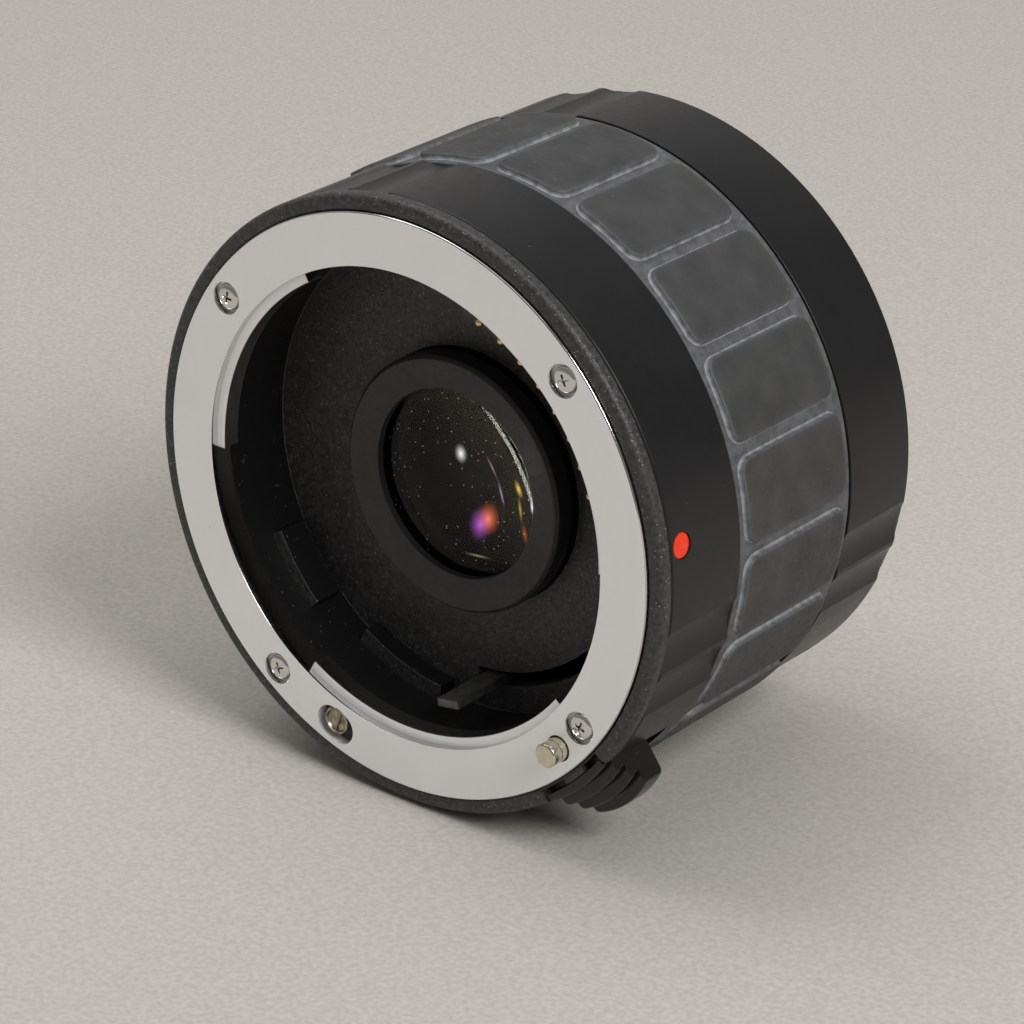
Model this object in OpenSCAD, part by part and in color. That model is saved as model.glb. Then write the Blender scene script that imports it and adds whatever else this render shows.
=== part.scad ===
// Camera teleconverter: a short black barrel that goes between a lens and a camera.
// It lies on its side, with the optical axis along Y and the lens mount face at Y = 0.
// Depths are measured from the lens mount face towards the camera.
// Angles are measured about the optical axis from +X towards +Z, seen from the lens side.

/* [Lens mount] */
// Radius of the throat that takes a lens spigot
throat_r = 25; // [24:0.1:26]
// Width of the silver mount face, from the throat to the outer edge
mount_face_w = 5.46; // [5.2:0.02:6.2]
// Thickness of the mount plate
mount_plate_t = 1.2; // [1:0.1:1.5]
// Depth of the bayonet lugs below the mount face
lug_depth = 0.9; // [0.5:0.1:1.1]
// Thickness of a bayonet lug
lug_t = 2.1; // [1.8:0.1:2.5]
// Reach of the lugs into the throat
lug_reach = 0.8; // [0.5:0.1:1.1]
// Wall of the neck behind the mount plate, measured from the throat
neck_t = 0.9; // [0.7:0.1:1]
// Relief of the neck behind the throat's rim
neck_relief = 0.15; // [0.05:0.05:0.25]
// Angles at which the three lugs begin
lug_from = [0, 120, 239]; // [0:1:359]
// Angles at which the three lugs end
lug_to = [60, 181, 322]; // [0:1:359]
// Thickness of the leaf springs behind the lugs
leaf_t = 0.25; // [0.15:0.05:0.4]
// Angle covered by a leaf spring
leaf_span = 36; // [20:1:44]
// Chamfer on turned edges
edge_break = 0.15; // [0.1:0.05:0.25]

/* [Mount screws] */
// Distance of the screw axes outside the throat
screw_offset = 3; // [2.8:0.1:3.4]
// Angles of the lens mount screws
screw_angles = [43.2, 142.7, 233.3, 323.9]; // [0:0.1:360]
// Angles of the camera mount screws
rear_screw_angles = [20, 110, 200, 288]; // [0:1:360]
// Radius of a screw head
screw_head_r = 1.4; // [1.2:0.05:1.6]
// Height of a screw head
screw_head_h = 0.62; // [0.5:0.02:0.7]
// Radius of a screw shank
screw_r = 0.8; // [0.6:0.05:0.9]
// Length of a screw shank
screw_l = 5.2; // [3:0.1:6]
// Length of the camera mount screws' shanks
rear_screw_l = 2.6; // [1.6:0.1:2.9]
// Depth of a screw head below the mount face
head_sink = 0.06; // [0.02:0.02:0.2]
// Gap round a screw head in its counterbore
head_play = 0.15; // [0.1:0.05:0.3]
// Width of an arm of the cross recess
recess_w = 0.36; // [0.2:0.02:0.5]
// Length of the cross recess from end to end
recess_l = 1.82; // [1.2:0.02:2.2]
// Depth of the cross recess
recess_h = 0.34; // [0.2:0.02:0.42]

/* [Release] */
// Angle of the lock pin
pin_angle = 316.5; // [315:0.1:318]
// Depth of the hole that takes a camera's lock pin
lock_hole_l = 3.4; // [2.8:0.1:3.8]
// Distance of the lock pin's axis outside the throat
pin_offset = 3; // [2.8:0.1:3.2]
// Radius of the lock pin
pin_r = 1.25; // [1:0.05:1.35]
// Height of the lock pin above the mount face
pin_proud = 2.3; // [1.6:0.1:2.6]
// Radius of the lock pin's tail, which guides its spring
pin_tail_r = 0.75; // [0.6:0.05:0.85]
// Gap round the lock pin in the mount ring
pin_hole_gap = 0.2; // [0.1:0.05:0.4]
// Distance of the lock pin's groove from its tip
pin_groove_from = 1.05; // [0.6:0.05:1.2]
// Width and depth of the lock pin's groove
pin_groove = 0.2; // [0.1:0.05:0.3]
// Travel of the release towards the camera
release_travel = 2.5; // [2:0.1:2.8]
// Half the angle of the leg that carries the lock pin
leg_half = 4; // [3.6:0.1:4.4]
// Length of the leg that carries the lock pin
leg_l = 3.8; // [3:0.1:4]
// Wall of that leg on the inside of the lock pin
leg_wall = 0.55; // [0.4:0.05:0.7]
// Distance of that leg behind the bayonet lugs
leg_set_back = 1.2; // [1:0.1:1.4]
// Wall behind the release's pocket
pocket_wall = 1.15; // [0.9:0.05:1.3]
// Angle left free on each side of the release
release_play = 0.7; // [0.4:0.1:1]
// Angle of the middle of the finger lever
lever_angle = 313; // [312:0.5:315]
// Half the angle that the finger lever covers
lever_half = 8.6; // [7.5:0.1:9.2]
// Length of the finger lever along the barrel
lever_l = 7.9; // [7:0.1:8.4]
// Height of the lever's rear end above the barrel
lever_h = 2.9; // [2:0.1:3.6]
// Height of the lever's first ridge above the barrel
first_ridge_h = 0.1; // [0:0.05:0.4]
// Distance of the lever's front behind the rim's front edge
lever_set_back = 0.3; // [0.2:0.1:0.6]
// Depth of the lever's track in the barrel
track_depth = 0.8; // [0.6:0.05:0.9]
// Gap between the lever and its track
lever_gap = 0.1; // [0.05:0.05:0.2]
// Number of finger ridges
lever_ridges = 4; // [3:1:5]
// Pitch of the finger ridges
ridge_pitch = 1.7; // [1.3:0.05:1.8]
// Roundness of the ridges' crests
ridge_round = 0.4; // [0.2:0.05:0.6]
// Fall from a ridge's crest to the valley behind it
ridge_drop = 0.3; // [0.2:0.05:0.4]
// Draft of the lever's two ends
lever_draft = 1.1; // [0.4:0.1:1.6]
// Half the angle of the stop block in the rim's notch
stop_half = 2.5; // [1.5:0.1:3.5]
// Angle from the lever's middle to the stop block's middle
stop_offset = -0.9; // [-2:0.1:2]

/* [Focus coupler] */
// Angle of the focus coupler
coupler_angle = 251.2; // [249:0.1:254]
// Distance of the coupler's axis outside the throat
coupler_offset = 2.4; // [2.3:0.1:2.8]
// Radius of the coupler's tip and journals
coupler_r = 1.45; // [1.2:0.05:1.5]
// Depth of the tip's shoulder below the mount face
tip_depth = 0.8; // [0.6:0.1:1.2]
// Length of the tip's round part
tip_l = 5.2; // [4:0.1:5.6]
// Height of the driving blade on the tip
blade_h = 0.6; // [0.4:0.1:0.8]
// Thickness of the driving blade
blade_t = 0.7; // [0.5:0.05:0.9]
// Travel of the spring-loaded tip
tip_travel = 1.8; // [1.2:0.1:2]
// Gap round the tip in the mount ring
coupler_hole_gap = 0.35; // [0.2:0.05:0.5]
// Length that the tip's hole gains to each side along the ring
coupler_hole_stretch = 0.35; // [0.1:0.05:0.6]
// Side of the square stem that turns with the shaft
stem_w = 1.3; // [1.1:0.05:1.35]
// Length of the stem inside the shaft
stem_grip_l = 5; // [3:0.1:7]
// Length of the shaft's front journal
journal_l = 2; // [1.6:0.1:3]
// Relief of the shaft between its journals
shaft_relief = 0.15; // [0.1:0.05:0.3]
// Radius of the collars that hold the shaft in place
collar_r = 1.9; // [1.7:0.05:2]
// Thickness of the collars
collar_t = 1; // [0.6:0.1:1.5]
// Depth of the counterbore that takes the rear collar
collar_sink = 0.4; // [0.2:0.1:1]
// Depth of the shaft's end below the camera mount face
shaft_set_back = 0.3; // [0.1:0.05:0.6]
// Depth of the driving slot in the shaft's end
slot_h = 1; // [0.6:0.1:1.5]

/* [Barrel] */
// Width of the textured rim round the lens mount
rim_w = 1.69; // [1.5:0.01:2.2]
// Distance of the rim's front edge behind the mount face
rim_set_back = 0.3; // [0.1:0.05:0.6]
// Thickness of the flange that carries the rim
flange_web = 0.5; // [0.4:0.05:0.8]
// Wall of the shell under the smooth band
shell_t = 1.95; // [1.7:0.05:2.1]
// Length of the smooth band in front of the grip
band_l = 11; // [10.6:0.1:14]
// Length of the grip
grip_l = 18.3; // [17:0.1:22]
// Length of the rear ring
rear_ring_l = 10.65; // [9.6:0.05:13]
// Open joint between grip and rear ring
rear_joint = 0.25; // [0.1:0.05:0.4]
// Width of the groove between rim and band
groove_w = 0.35; // [0.2:0.05:0.6]
// Depth of the groove between rim and band
groove_h = 0.5; // [0.3:0.05:0.8]
// Bevel on the rim's outer edge
rim_bevel = 0.4; // [0.2:0.05:0.5]
// Bevel on the rear ring's edge
rear_bevel = 0.5; // [0.2:0.1:0.8]
// Radius of the screws that hold the shell
shell_screw_r = 0.5; // [0.4:0.05:0.55]
// Length of the shell screws in the front housing
shell_screw_l = 2.6; // [1.6:0.1:3]
// Angles of the shell screws
shell_screw_angles = [30, 150, 270]; // [0:1:360]
// Distance of the rear shell screws from the rear housing's front edge
skirt_screw_inset = 2; // [1:0.1:4]
// Diameter of an index dot
dot_d = 2.6; // [1.6:0.1:3]
// Depth of the recess for an index dot
dot_recess = 0.35; // [0.3:0.05:0.5]
// Distance of an index dot's face below the barrel's surface
dot_sink = 0.1; // [0.05:0.05:0.2]
// Depth of the front index dot's centre
front_dot_depth = 3.7; // [3.5:0.1:8]
// Distance of the rear index dot from the rear ring's end
rear_dot_inset = 4; // [2.5:0.1:6]
// Angle of the front index dot
front_dot_angle = 7.7; // [0:0.1:20]

/* [Flutes] */
// Angle of the middle of the first pair of flutes
flute_angle = 103.2; // [100:0.1:106]
// Number of pairs of flutes round the barrel
flute_pairs = 3; // [2:1:3]
// Angle between the two flutes of a pair
flute_pitch = 9.6; // [9:0.1:11]
// Depth of a flute
flute_depth = 0.45; // [0.2:0.05:0.6]
// Radius of the round cutter that makes a flute
flute_cut_r = 8; // [6:0.5:10]

/* [Grip] */
// Number of raised panels
panels = 20; // [12:1:24]
// Height of a panel above the channels
panel_h = 0.6; // [0.3:0.05:0.8]
// Width of the channels between panels
channel_w = 2.1; // [1.4:0.1:2.8]
// Border between the panels and the grip's ends
panel_border = 1; // [0.6:0.1:1.6]
// Corner radius of a panel
panel_corner = 1.5; // [0.8:0.1:2]
// Thickness of the rubber under the channels
grip_base_t = 0.8; // [0.5:0.05:1]
// Wall of the shell under the grip
grip_seat_t = 0.9; // [0.7:0.05:1]

/* [Front chamber] */
// Depth of the chamber's textured floor
chamber_depth = 11.2; // [10.8:0.1:12]
// Step from the throat out to the chamber wall
chamber_relief = 0.4; // [0.3:0.05:0.5]
// Thickness of the chamber floor
floor_t = 2; // [1.6:0.1:2.4]
// Length of the chamber wall behind the floor
back_wall_l = 1.3; // [1.1:0.1:1.8]
// Width of the ledge that the chamber wall makes behind the floor
back_wall_w = 6.1; // [5.2:0.1:7]
// Height of the pad on the chamber wall
pad_h = 1.4; // [0.8:0.1:1.6]
// Angles between which the pad lies
pad_span = [206, 226]; // [190:1:230]
// Length of the pad along the barrel
pad_l = 3.7; // [2:0.1:5]
// Distance of the pad from the chamber floor
pad_lift = 1.2; // [0.4:0.1:2]
// Half the angle of the ledge by the focus coupler
ledge_half = 13; // [8:0.5:14]
// Width of the ledge
ledge_w = 1.8; // [1:0.1:2.2]
// Height of the ledge above the chamber floor
ledge_h = 2.2; // [1:0.1:3]

/* [Contacts] */
// Distance of the contact pins inside the throat
contact_inset = 2.7; // [2.5:0.1:3]
// Angle from one contact to the next
contact_pitch = 7.5; // [7:0.1:8]
// Angle of the middle of the row of contacts
contact_angle = 43.4; // [42:0.1:45]
// Depth of the contact tips
contact_depth = 3; // [2.4:0.1:3.2]
// Radius of a contact pin
contact_r = 0.42; // [0.3:0.02:0.48]
// Radius of the collar that keeps a contact pin in its block
contact_collar_r = 0.72; // [0.6:0.02:0.78]
// Thickness of that collar
contact_collar_t = 1.1; // [0.6:0.1:1.4]
// Travel of a contact pin
contact_travel = 0.9; // [0.6:0.1:1]
// Height of a contact pin above its block when it is pressed in
contact_left = 0.7; // [0.5:0.1:0.9]
// Thickness of the moulded face of the contact block
block_face_t = 1.4; // [1:0.1:1.8]
// Width of the lens side contact block
block_w = 2.8; // [2.4:0.1:3]
// Angle of the contact blocks past the end contacts
block_margin = 7.9; // [5:0.1:8.5]
// Angle left free at each end of the camera side block
block_play = 0.4; // [0.2:0.1:0.6]
// Reach of the camera side block inwards from the contacts
rear_block_in = 1.6; // [1.3:0.1:1.8]
// Reach of the camera side block outwards from the contacts
rear_block_out = 1.1; // [0.9:0.05:1.3]
// Radius of the camera side contact pads
pad_r = 0.7; // [0.5:0.05:0.85]
// Depth of the recesses that hold the pads
pad_recess = 0.3; // [0.2:0.05:0.5]
// Height of the pads above their block
pad_rise = 0.05; // [0.02:0.01:0.1]
// Height of the camera side block past the depth of the contacts
contact_press = 0.1; // [0.05:0.05:0.3]

/* [Aperture drive] */
// Angle of the lens side aperture lever at rest
aperture_angle = 278.5; // [277:0.5:281]
// Turn of the aperture drive from rest to its stop
aperture_turn = 30; // [20:1:31]
// Half the angle that a lever covers
aperture_half = 2.8; // [2:0.1:3.2]
// Angle from the lens side lever to the camera side lever
aperture_step = 8.5; // [7:0.5:10]
// Thickness of the drive ring
drive_ring_t = 3; // [2:0.1:4]
// Wall of the drive ring round the lens barrel
drive_ring_w = 3.85; // [3:0.05:4.2]
// Thickness of the lever arms
arm_t = 0.8; // [0.5:0.1:1]
// Distance of the lens side lever inside the throat
front_lever_inset = 2.8; // [2.6:0.1:3.4]
// Distance of the camera side lever inside the spigot
rear_lever_inset = 2.25; // [2.05:0.05:2.85]
// Thickness of the levers
lever_t = 1.3; // [0.8:0.1:1.6]
// Depth of the lens side lever's tip
front_lever_depth = 4.5; // [4:0.1:6]
// Height of the camera side lever above the camera mount face
rear_lever_proud = 3.3; // [2:0.1:4]
// Angle left free at each end of the levers' slots
slot_play = 1.4; // [0.8:0.1:2]
// Thickness of the clip that holds the drive ring
clip_t = 0.5; // [0.3:0.05:0.7]
// Depth of the clip's groove in the lens barrel
clip_groove = 0.6; // [0.4:0.05:0.8]
// Height of the clip above the lens barrel
clip_h = 1.6; // [1.2:0.1:2]
// Angles between which the clip lies
clip_span = [20, 330]; // [0:1:360]
// Distance of the spring's pins from the optical axis
anchor_r = 19; // [18.9:0.1:20]
// Radius of the spring's pins
anchor_pin_r = 0.6; // [0.4:0.05:0.7]
// Height of the spring's pins behind the clip
anchor_h = 2; // [1.8:0.1:3]
// Angle of the spring's pin on the housing
anchor_angle = 75; // [72:1:80]
// Angle of the spring's pin on the drive ring
hook_angle = 120; // [114:1:128]
// Half the angle of the ear that carries the drive ring's pin
hook_half = 4; // [3:0.5:6]
// Width of the ear outside its pin's axis
hook_rim = 1.2; // [0.8:0.1:1.6]

/* [Optics] */
// Edge radius of the glass elements
glass_r = 11; // [10.6:0.1:11.4]
// Wall of the lens barrel
barrel_t = 2.55; // [2.2:0.05:2.7]
// Height of the front retaining ring above the chamber floor
cell_proud = 2.8; // [2.4:0.1:3.2]
// Thickness of the retaining rings
retainer_t = 1.8; // [1.4:0.1:2]
// Clear radius of the retaining rings
clear_r = 9.85; // [9.4:0.05:10]
// Depth of the first glass surface behind the retaining ring's face
glass_set_back = 1; // [0.8:0.05:1.4]
// Centre thickness of the elements, from the lens side
glass_t = [3.5, 1.37, 1.42, 4.17, 1.4, 4.3, 1.3]; // [1:0.01:6]
// Radius of each element's lens side surface, positive when it is centred towards the camera
front_curve = [38, -60, -34, 24, -26, 48, -30]; // [-100:1:100]
// Radius of each element's camera side surface, positive when it is centred towards the camera
rear_curve = [-60, 55, 24, -80, 90, -48, -70]; // [-100:1:100]
// Cement between the elements of a doublet
cement_t = 0.03; // [0.02:0.01:0.06]
// Length of the spacer behind the first doublet
spacer_1_l = 1.5; // [1:0.1:2]
// Length of the spacer in front of the sixth element
spacer_3_l = 1.2; // [1:0.1:1.8]
// Wall of the spacers
spacer_w = 1.1; // [0.8:0.1:1.4]
// Thickness of the flange that holds the lens barrel
barrel_flange_t = 1.8; // [1.5:0.1:2.2]
// Width of the flange that holds the lens barrel
barrel_flange_w = 4.3; // [4:0.1:4.5]
// Angles of the screws in that flange
barrel_screw_angles = [30, 150, 225]; // [0:1:360]
// Depth of those screws in the chamber floor
barrel_screw_l = 1.2; // [0.8:0.1:1.4]
// Distance of the lens barrel's end in front of the camera mount plate
barrel_inset = 1.3; // [1.1:0.1:1.8]
// Thickness of the rear retaining ring outside the lens barrel
rear_retainer_t = 1; // [0.7:0.1:1.1]
// Length of the front retaining ring inside the lens barrel
front_lip_l = 0.4; // [0.2:0.1:0.6]
// Length of the rear retaining ring inside the lens barrel
rear_lip_l = 1.25; // [1:0.05:1.5]
// Slope of the front retaining ring's face
retainer_slope = 0.5; // [0.2:0.1:0.7]
// Bevel on the retaining rings
retainer_bevel = 0.3; // [0.1:0.1:0.5]
// Air at the edge between the last two elements
rear_air = 0.2; // [0.1:0.05:0.4]

/* [Camera mount] */
// Height of the camera mount face above the rear ring
rear_proud = 0.6; // [0.3:0.1:1]
// Thickness of the camera mount plate
rear_plate_t = 1.2; // [1:0.1:1.6]
// Wall of the camera side spigot
spigot_t = 1.2; // [1:0.05:1.4]
// Thickness of the bayonet tabs
tab_t = 1.5; // [1:0.1:1.8]
// Turn from putting a mount in to its locked place
mount_turn = 54; // [50:1:56]
// Angle left free at each end of a tab
tab_play = 2; // [1:0.5:4]
// Thickness of the rear wall that carries the camera mount
rear_wall_t = 3.3; // [2.8:0.1:3.6]
// Length of the rear housing's skirt inside the shell
skirt_l = 12; // [10:0.5:14]
// Wall of the rear housing's skirt
skirt_t = 1.4; // [1:0.1:1.8]
// Width of the window in the rear baffle
window_w = 22; // [18:0.5:23]
// Height of the window in the rear baffle
window_h = 16; // [14:0.5:18]
// Thickness of the rear baffle
baffle_t = 0.8; // [0.6:0.1:1]
// Height of the hood round the window
hood_h = 1.1; // [0.6:0.1:1.4]
// Wall of the hood round the window
hood_t = 1.5; // [0.8:0.1:2]
// Corner radius of the window
window_corner = 1; // [0.5:0.1:2]
// Chamfer that leads the spigot into a camera
lead_in = 0.3; // [0.1:0.1:0.5]

/* [Electronics] */
// Thickness of the circuit board
board_t = 1.2; // [0.8:0.1:1.6]
// Height of the posts under the circuit board
post_h = 3.8; // [3:0.1:5]
// Angle at which the circuit board begins
board_from = 15; // [10:1:20]
// Angle at which the circuit board ends
board_to = 165; // [150:1:170]
// Distance of the circuit board outside the lens barrel
board_inset = 2.4; // [1.6:0.1:4]
// Distance of the circuit board inside the skirt
board_gap = 1.2; // [0.7:0.1:2.2]
// Radius of the posts under the circuit board
post_r = 1.9; // [1.5:0.1:2.2]
// Angle of the board's screws from its ends
board_screw_inset = 9; // [7:0.5:12]
// Distance of the board's screws from its outer edge
board_screw_edge = 2; // [1.8:0.1:3]
// Depth of the board's screws in their posts
board_screw_l = 2.4; // [1.5:0.1:3]
// Side of the square processor
chip_w = 5; // [4:0.5:7]
// Thickness of the processor
chip_t = 0.9; // [0.6:0.1:1.4]
// Thickness of the flat cables
flex_t = 0.3; // [0.2:0.05:0.4]
// Half the angle that a flat cable covers
flex_half = 6; // [4:0.5:8]
// Angle left free on each side of a flat cable
flex_play = 1; // [0.5:0.1:2]
// Distance of the lens side cable outside the contacts
flex_offset = 0.4; // [0.3:0.05:0.5]
// Distance of the camera side cable inside the contacts
rear_flex_offset = 0.6; // [0.3:0.05:0.8]

/* [Springs] */
// Radius of the spring wire
wire_r = 0.15; // [0.1:0.01:0.18]
// Number of curls in each spring
curls = 6; // [4:1:7]
// Mean radius of the release spring's curls
release_coil_r = 1.25; // [1.15:0.05:1.3]
// Mean radius of the coupler spring's curls
coupler_coil_r = 1.2; // [1.15:0.01:1.25]
// Mean radius of the aperture spring's curls
aperture_coil_r = 0.8; // [0.6:0.05:1]

/* [Fits] */
// Gap round pieces that are screwed, pressed or glued together
fit_gap = 0.05; // [0.03:0.01:0.08]
// Gap round pieces that turn or slide
run_gap = 0.05; // [0.02:0.01:0.08]
// Gap between moving pieces and what they pass
pass_gap = 0.3; // [0.2:0.05:0.4]
// End play of the pieces that turn
end_play = 0.2; // [0.1:0.05:0.3]
// Depth of a blind hole past the end of its screw
screw_end = 0.2; // [0.1:0.05:0.4]

/* [Hidden] */

$fn = 96;
// Finer division for the shallow lens surfaces
lens_fn = 280;
// Overrun of a cutter past the face that it opens
over = 0.6;

// Radii of the mount and barrel, from the throat outwards
mount_ring_r = throat_r + mount_face_w;
neck_r = throat_r + neck_t;
neck_in_r = throat_r + neck_relief;
lug_in_r = throat_r - lug_reach;
body_r = mount_ring_r + rim_w;
rim_in_r = mount_ring_r + fit_gap;
shell_in_r = body_r - shell_t;
inner_r = shell_in_r - 2 * fit_gap;
grip_seat_r = shell_in_r + grip_seat_t;
grip_base_r = grip_seat_r + fit_gap + grip_base_t;
grip_r = grip_base_r + panel_h;
chamber_r = throat_r + chamber_relief;
screw_pitch_r = throat_r + screw_offset;
pin_pitch_r = throat_r + pin_offset;
coupler_pitch_r = throat_r + coupler_offset;
contact_pitch_r = throat_r - contact_inset;

// Depths of the front half
lug_back = lug_depth + lug_t;
neck_back = lug_back - edge_break;
rim_back = mount_plate_t + flange_web;
band_end = rim_back + band_l;
shell_end = band_end + grip_l;
floor_back = chamber_depth + floor_t;
wall_back = floor_back + back_wall_l;
wall_in_r = inner_r - back_wall_w;
front_row = wall_back - back_wall_l / 2;

// Depths of the rear half
rear_ring_front = shell_end + rear_joint;
rear_ring_back = rear_ring_front + rear_ring_l;
rear_face = rear_ring_back + rear_proud;
rear_seat = rear_face - rear_plate_t;
rear_wall_front = rear_seat - rear_wall_t;
skirt_front = rear_wall_front - skirt_l;
rear_row = skirt_front + skirt_screw_inset;

// Camera side bayonet
spigot_r = lug_in_r - pass_gap / 2;
spigot_in_r = spigot_r - spigot_t;
tab_r = throat_r - pass_gap / 2;
tab_front = rear_face + lug_back + fit_gap;
spigot_back = tab_front + tab_t;
rear_plate_r = inner_r - 2 * fit_gap;
next_lug = [lug_from[1], lug_from[2], lug_from[0] + 360];

// Release
pin_bore_r = pin_r + run_gap;
leg_in_r = pin_pitch_r - pin_r - leg_wall;
leg_front = lug_back + leg_set_back;
leg_back = leg_front + leg_l;
pocket_half = leg_half + release_play;
pocket_front = leg_front - pass_gap;
pocket_back = wall_back - pocket_wall;
lever_front = rim_set_back + lever_set_back;
lever_back = lever_front + lever_l;
lever_top_r = body_r + lever_h;
track_r = body_r - track_depth;
lever_in_r = track_r + lever_gap;
track_half = lever_half + release_play;
track_back = lever_back + release_travel + pass_gap;
tail_back = wall_back - pass_gap;
release_spring_from = leg_back + fit_gap;
release_spring_to = pocket_back - fit_gap;

// Focus coupler
coupler_bore_r = coupler_r + run_gap;
tip_back = tip_depth + tip_l;
shaft_front = wall_back - journal_l;
stem_back = shaft_front + stem_grip_l;
socket_back = stem_back + tip_travel + pass_gap;
shaft_back = rear_face - shaft_set_back;
front_collar = wall_back + end_play;
rear_collar = rear_wall_front + collar_sink - end_play - collar_t;
shaft_r = coupler_r - shaft_relief;
slot_w = blade_t + 2 * run_gap;
coupler_hole_r = coupler_r + coupler_hole_gap;

// Lens cell
cell_front = chamber_depth - cell_proud;
barrel_in_r = glass_r + fit_gap;
barrel_r = barrel_in_r + barrel_t;
barrel_front = cell_front + retainer_t;
barrel_back = rear_seat - barrel_inset;
rear_cell_back = barrel_back + rear_retainer_t;
cell_bore_r = barrel_r + fit_gap;
barrel_flange_back = floor_back + barrel_flange_t;
barrel_flange_r = barrel_r + barrel_flange_w;
barrel_screw_pitch_r = barrel_r + barrel_flange_w / 2;
lip_r = glass_r - 2 * fit_gap;

// Sag of a glass surface at a distance from the optical axis, at first the edge of an element
function sag(curve, r = glass_r) = curve - sign(curve) * sqrt(curve * curve - r * r);

// Where a spacer meets an element's lens side and camera side, measured from the vertex
function front_rest(i) = min(sag(front_curve[i]), sag(front_curve[i], glass_r - spacer_w));
function rear_rest(i) = max(sag(rear_curve[i]), sag(rear_curve[i], glass_r - spacer_w));

// Vertex depths of the elements, the front ones from the front ring and the rear ones from the rear
v1 = cell_front + glass_set_back;
v2 = v1 + glass_t[0] + cement_t;
edge_2 = v2 + glass_t[1] + rear_rest(1);
v3 = edge_2 + spacer_1_l + 2 * fit_gap - front_rest(2);
v4 = v3 + glass_t[2] + cement_t;
edge_4 = v4 + glass_t[3] + rear_rest(3);
rear_lip = barrel_back - rear_lip_l;
v7 = rear_lip - pass_gap - sag(rear_curve[6]) - glass_t[6];
v6 = v7 + sag(front_curve[6]) - rear_air - sag(rear_curve[5]) - glass_t[5];
spacer_3_back = v6 + front_rest(5) - fit_gap;
v5 = spacer_3_back - spacer_3_l - fit_gap - rear_rest(4) - glass_t[4];
edge_5 = v5 + front_rest(4);
vertex = [v1, v2, v3, v4, v5, v6, v7];

// Aperture drive
drive_front = barrel_flange_back + end_play;
drive_back = drive_front + drive_ring_t;
drive_in_r = barrel_r + run_gap;
drive_r = drive_in_r + drive_ring_w;
front_lever_r = throat_r - front_lever_inset;
rear_lever_r = spigot_in_r - rear_lever_inset;
arm_back = drive_back + arm_t;
clip_front = arm_back + end_play;
arm_in_r = drive_r - drive_ring_w / 2;
rear_aperture_angle = aperture_angle + aperture_step;
rear_lever_back = rear_face + rear_lever_proud;
anchor_back = clip_front + anchor_h;

// Contacts and electronics
contact_count = 8;
block_depth = contact_depth + contact_travel + contact_left;
block_half = (contact_count - 1) / 2 * contact_pitch + block_margin;
block_from = contact_angle - block_half;
block_to = contact_angle + block_half;
block_in_r = contact_pitch_r - block_w / 2;
block_out_r = contact_pitch_r + block_w / 2;
collar_front = block_depth + block_face_t;
collar_seat = collar_front + 2 * run_gap;
contact_back = collar_seat + contact_collar_t;
contact_bore_r = contact_r + run_gap;
collar_bore_r = contact_collar_r + run_gap;
rear_block_in_r = contact_pitch_r - rear_block_in;
rear_block_out_r = contact_pitch_r + rear_block_out;
rear_block_back = rear_face + contact_depth + contact_press;
board_in_r = barrel_r + board_inset;
board_out_r = inner_r - skirt_t - board_gap;
board_back = rear_wall_front - post_h;
board_front = board_back - board_t;
flex_r = contact_pitch_r + flex_offset;
rear_flex_r = contact_pitch_r - rear_flex_offset;
flex_from = contact_angle - flex_half;
flex_to = contact_angle + flex_half;
board_screw_angles = [board_from + board_screw_inset, board_to - board_screw_inset];
board_screw_r = board_out_r - board_screw_edge;

// Turns the working axis, along which the parts are drawn, into the optical axis
module stand() {
    rotate([90, 0, 0])
        children();
}

// Places a child at an angle and a distance from the optical axis
module at(angle, distance) {
    rotate([0, 0, angle])
        translate([distance, 0, 0])
            children();
}

// Turned solid from points given as [radius, depth]
module lathe(profile) {
    rotate_extrude()
        polygon([for (p = profile) [p[0], -p[1]]]);
}

// Round bar along the depth
module rod(r, front, back) {
    translate([0, 0, -back])
        cylinder(r = r, h = back - front);
}

// Ring between two depths
module tube(r_in, r_out, front, back) {
    rotate_extrude()
        translate([r_in, -back])
            square([r_out - r_in, back - front]);
}

// Part of a ring between two angles
module sector(from, to, r_in, r_out, front, back) {
    rotate([0, 0, from])
        rotate_extrude(angle = to - from)
            translate([r_in, -back])
                square([r_out - r_in, back - front]);
}

// Square bar along the depth
module bar(width, height, front, back) {
    translate([-width / 2, -height / 2, -back])
        cube([width, height, back - front]);
}

// Round bar that points away from the optical axis
module spoke(r, from_r, to_r, depth) {
    translate([from_r, 0, -depth])
        rotate([0, 90, 0])
            cylinder(r = r, h = to_r - from_r);
}

// Flat outline with round corners
module rounded(length, width, corner) {
    square([length - 2 * corner, width], center = true);
    square([length, width - 2 * corner], center = true);
    for (x = [-1, 1], y = [-1, 1])
        translate([x * (length / 2 - corner), y * (width / 2 - corner)])
            circle(r = corner);
}

// Cross-recess screw whose head starts at a depth of zero and whose shank runs to the rear
module screw(shank_l) {
    difference() {
        union() {
            rod(screw_head_r, 0, screw_head_h);
            rod(screw_r, screw_head_h - fit_gap, screw_head_h + shank_l);
        }
        bar(recess_l, recess_w, -over, recess_h);
        bar(recess_w, recess_l, -over, recess_h);
    }
}

// Hole for a screw's shank
module shank_hole(front, back) {
    rod(screw_r + fit_gap, front, back);
}

// Counterbore for a screw's head
module head_hole(front, back) {
    rod(screw_head_r + head_play, front, back);
}

// Slot along the path of an aperture lever, from its first angle at rest
module lever_slot(angle, outer_r, front, back) {
    sector(angle - aperture_half - slot_play, angle + aperture_half + aperture_turn + slot_play,
           outer_r - lever_t - pass_gap, outer_r + pass_gap, front, back);
}

// Slot for a flat cable
module flex_slot(inner_r, front, back) {
    sector(flex_from - flex_play, flex_to + flex_play, inner_r - pass_gap, inner_r + flex_t + pass_gap,
           front, back);
}

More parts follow.
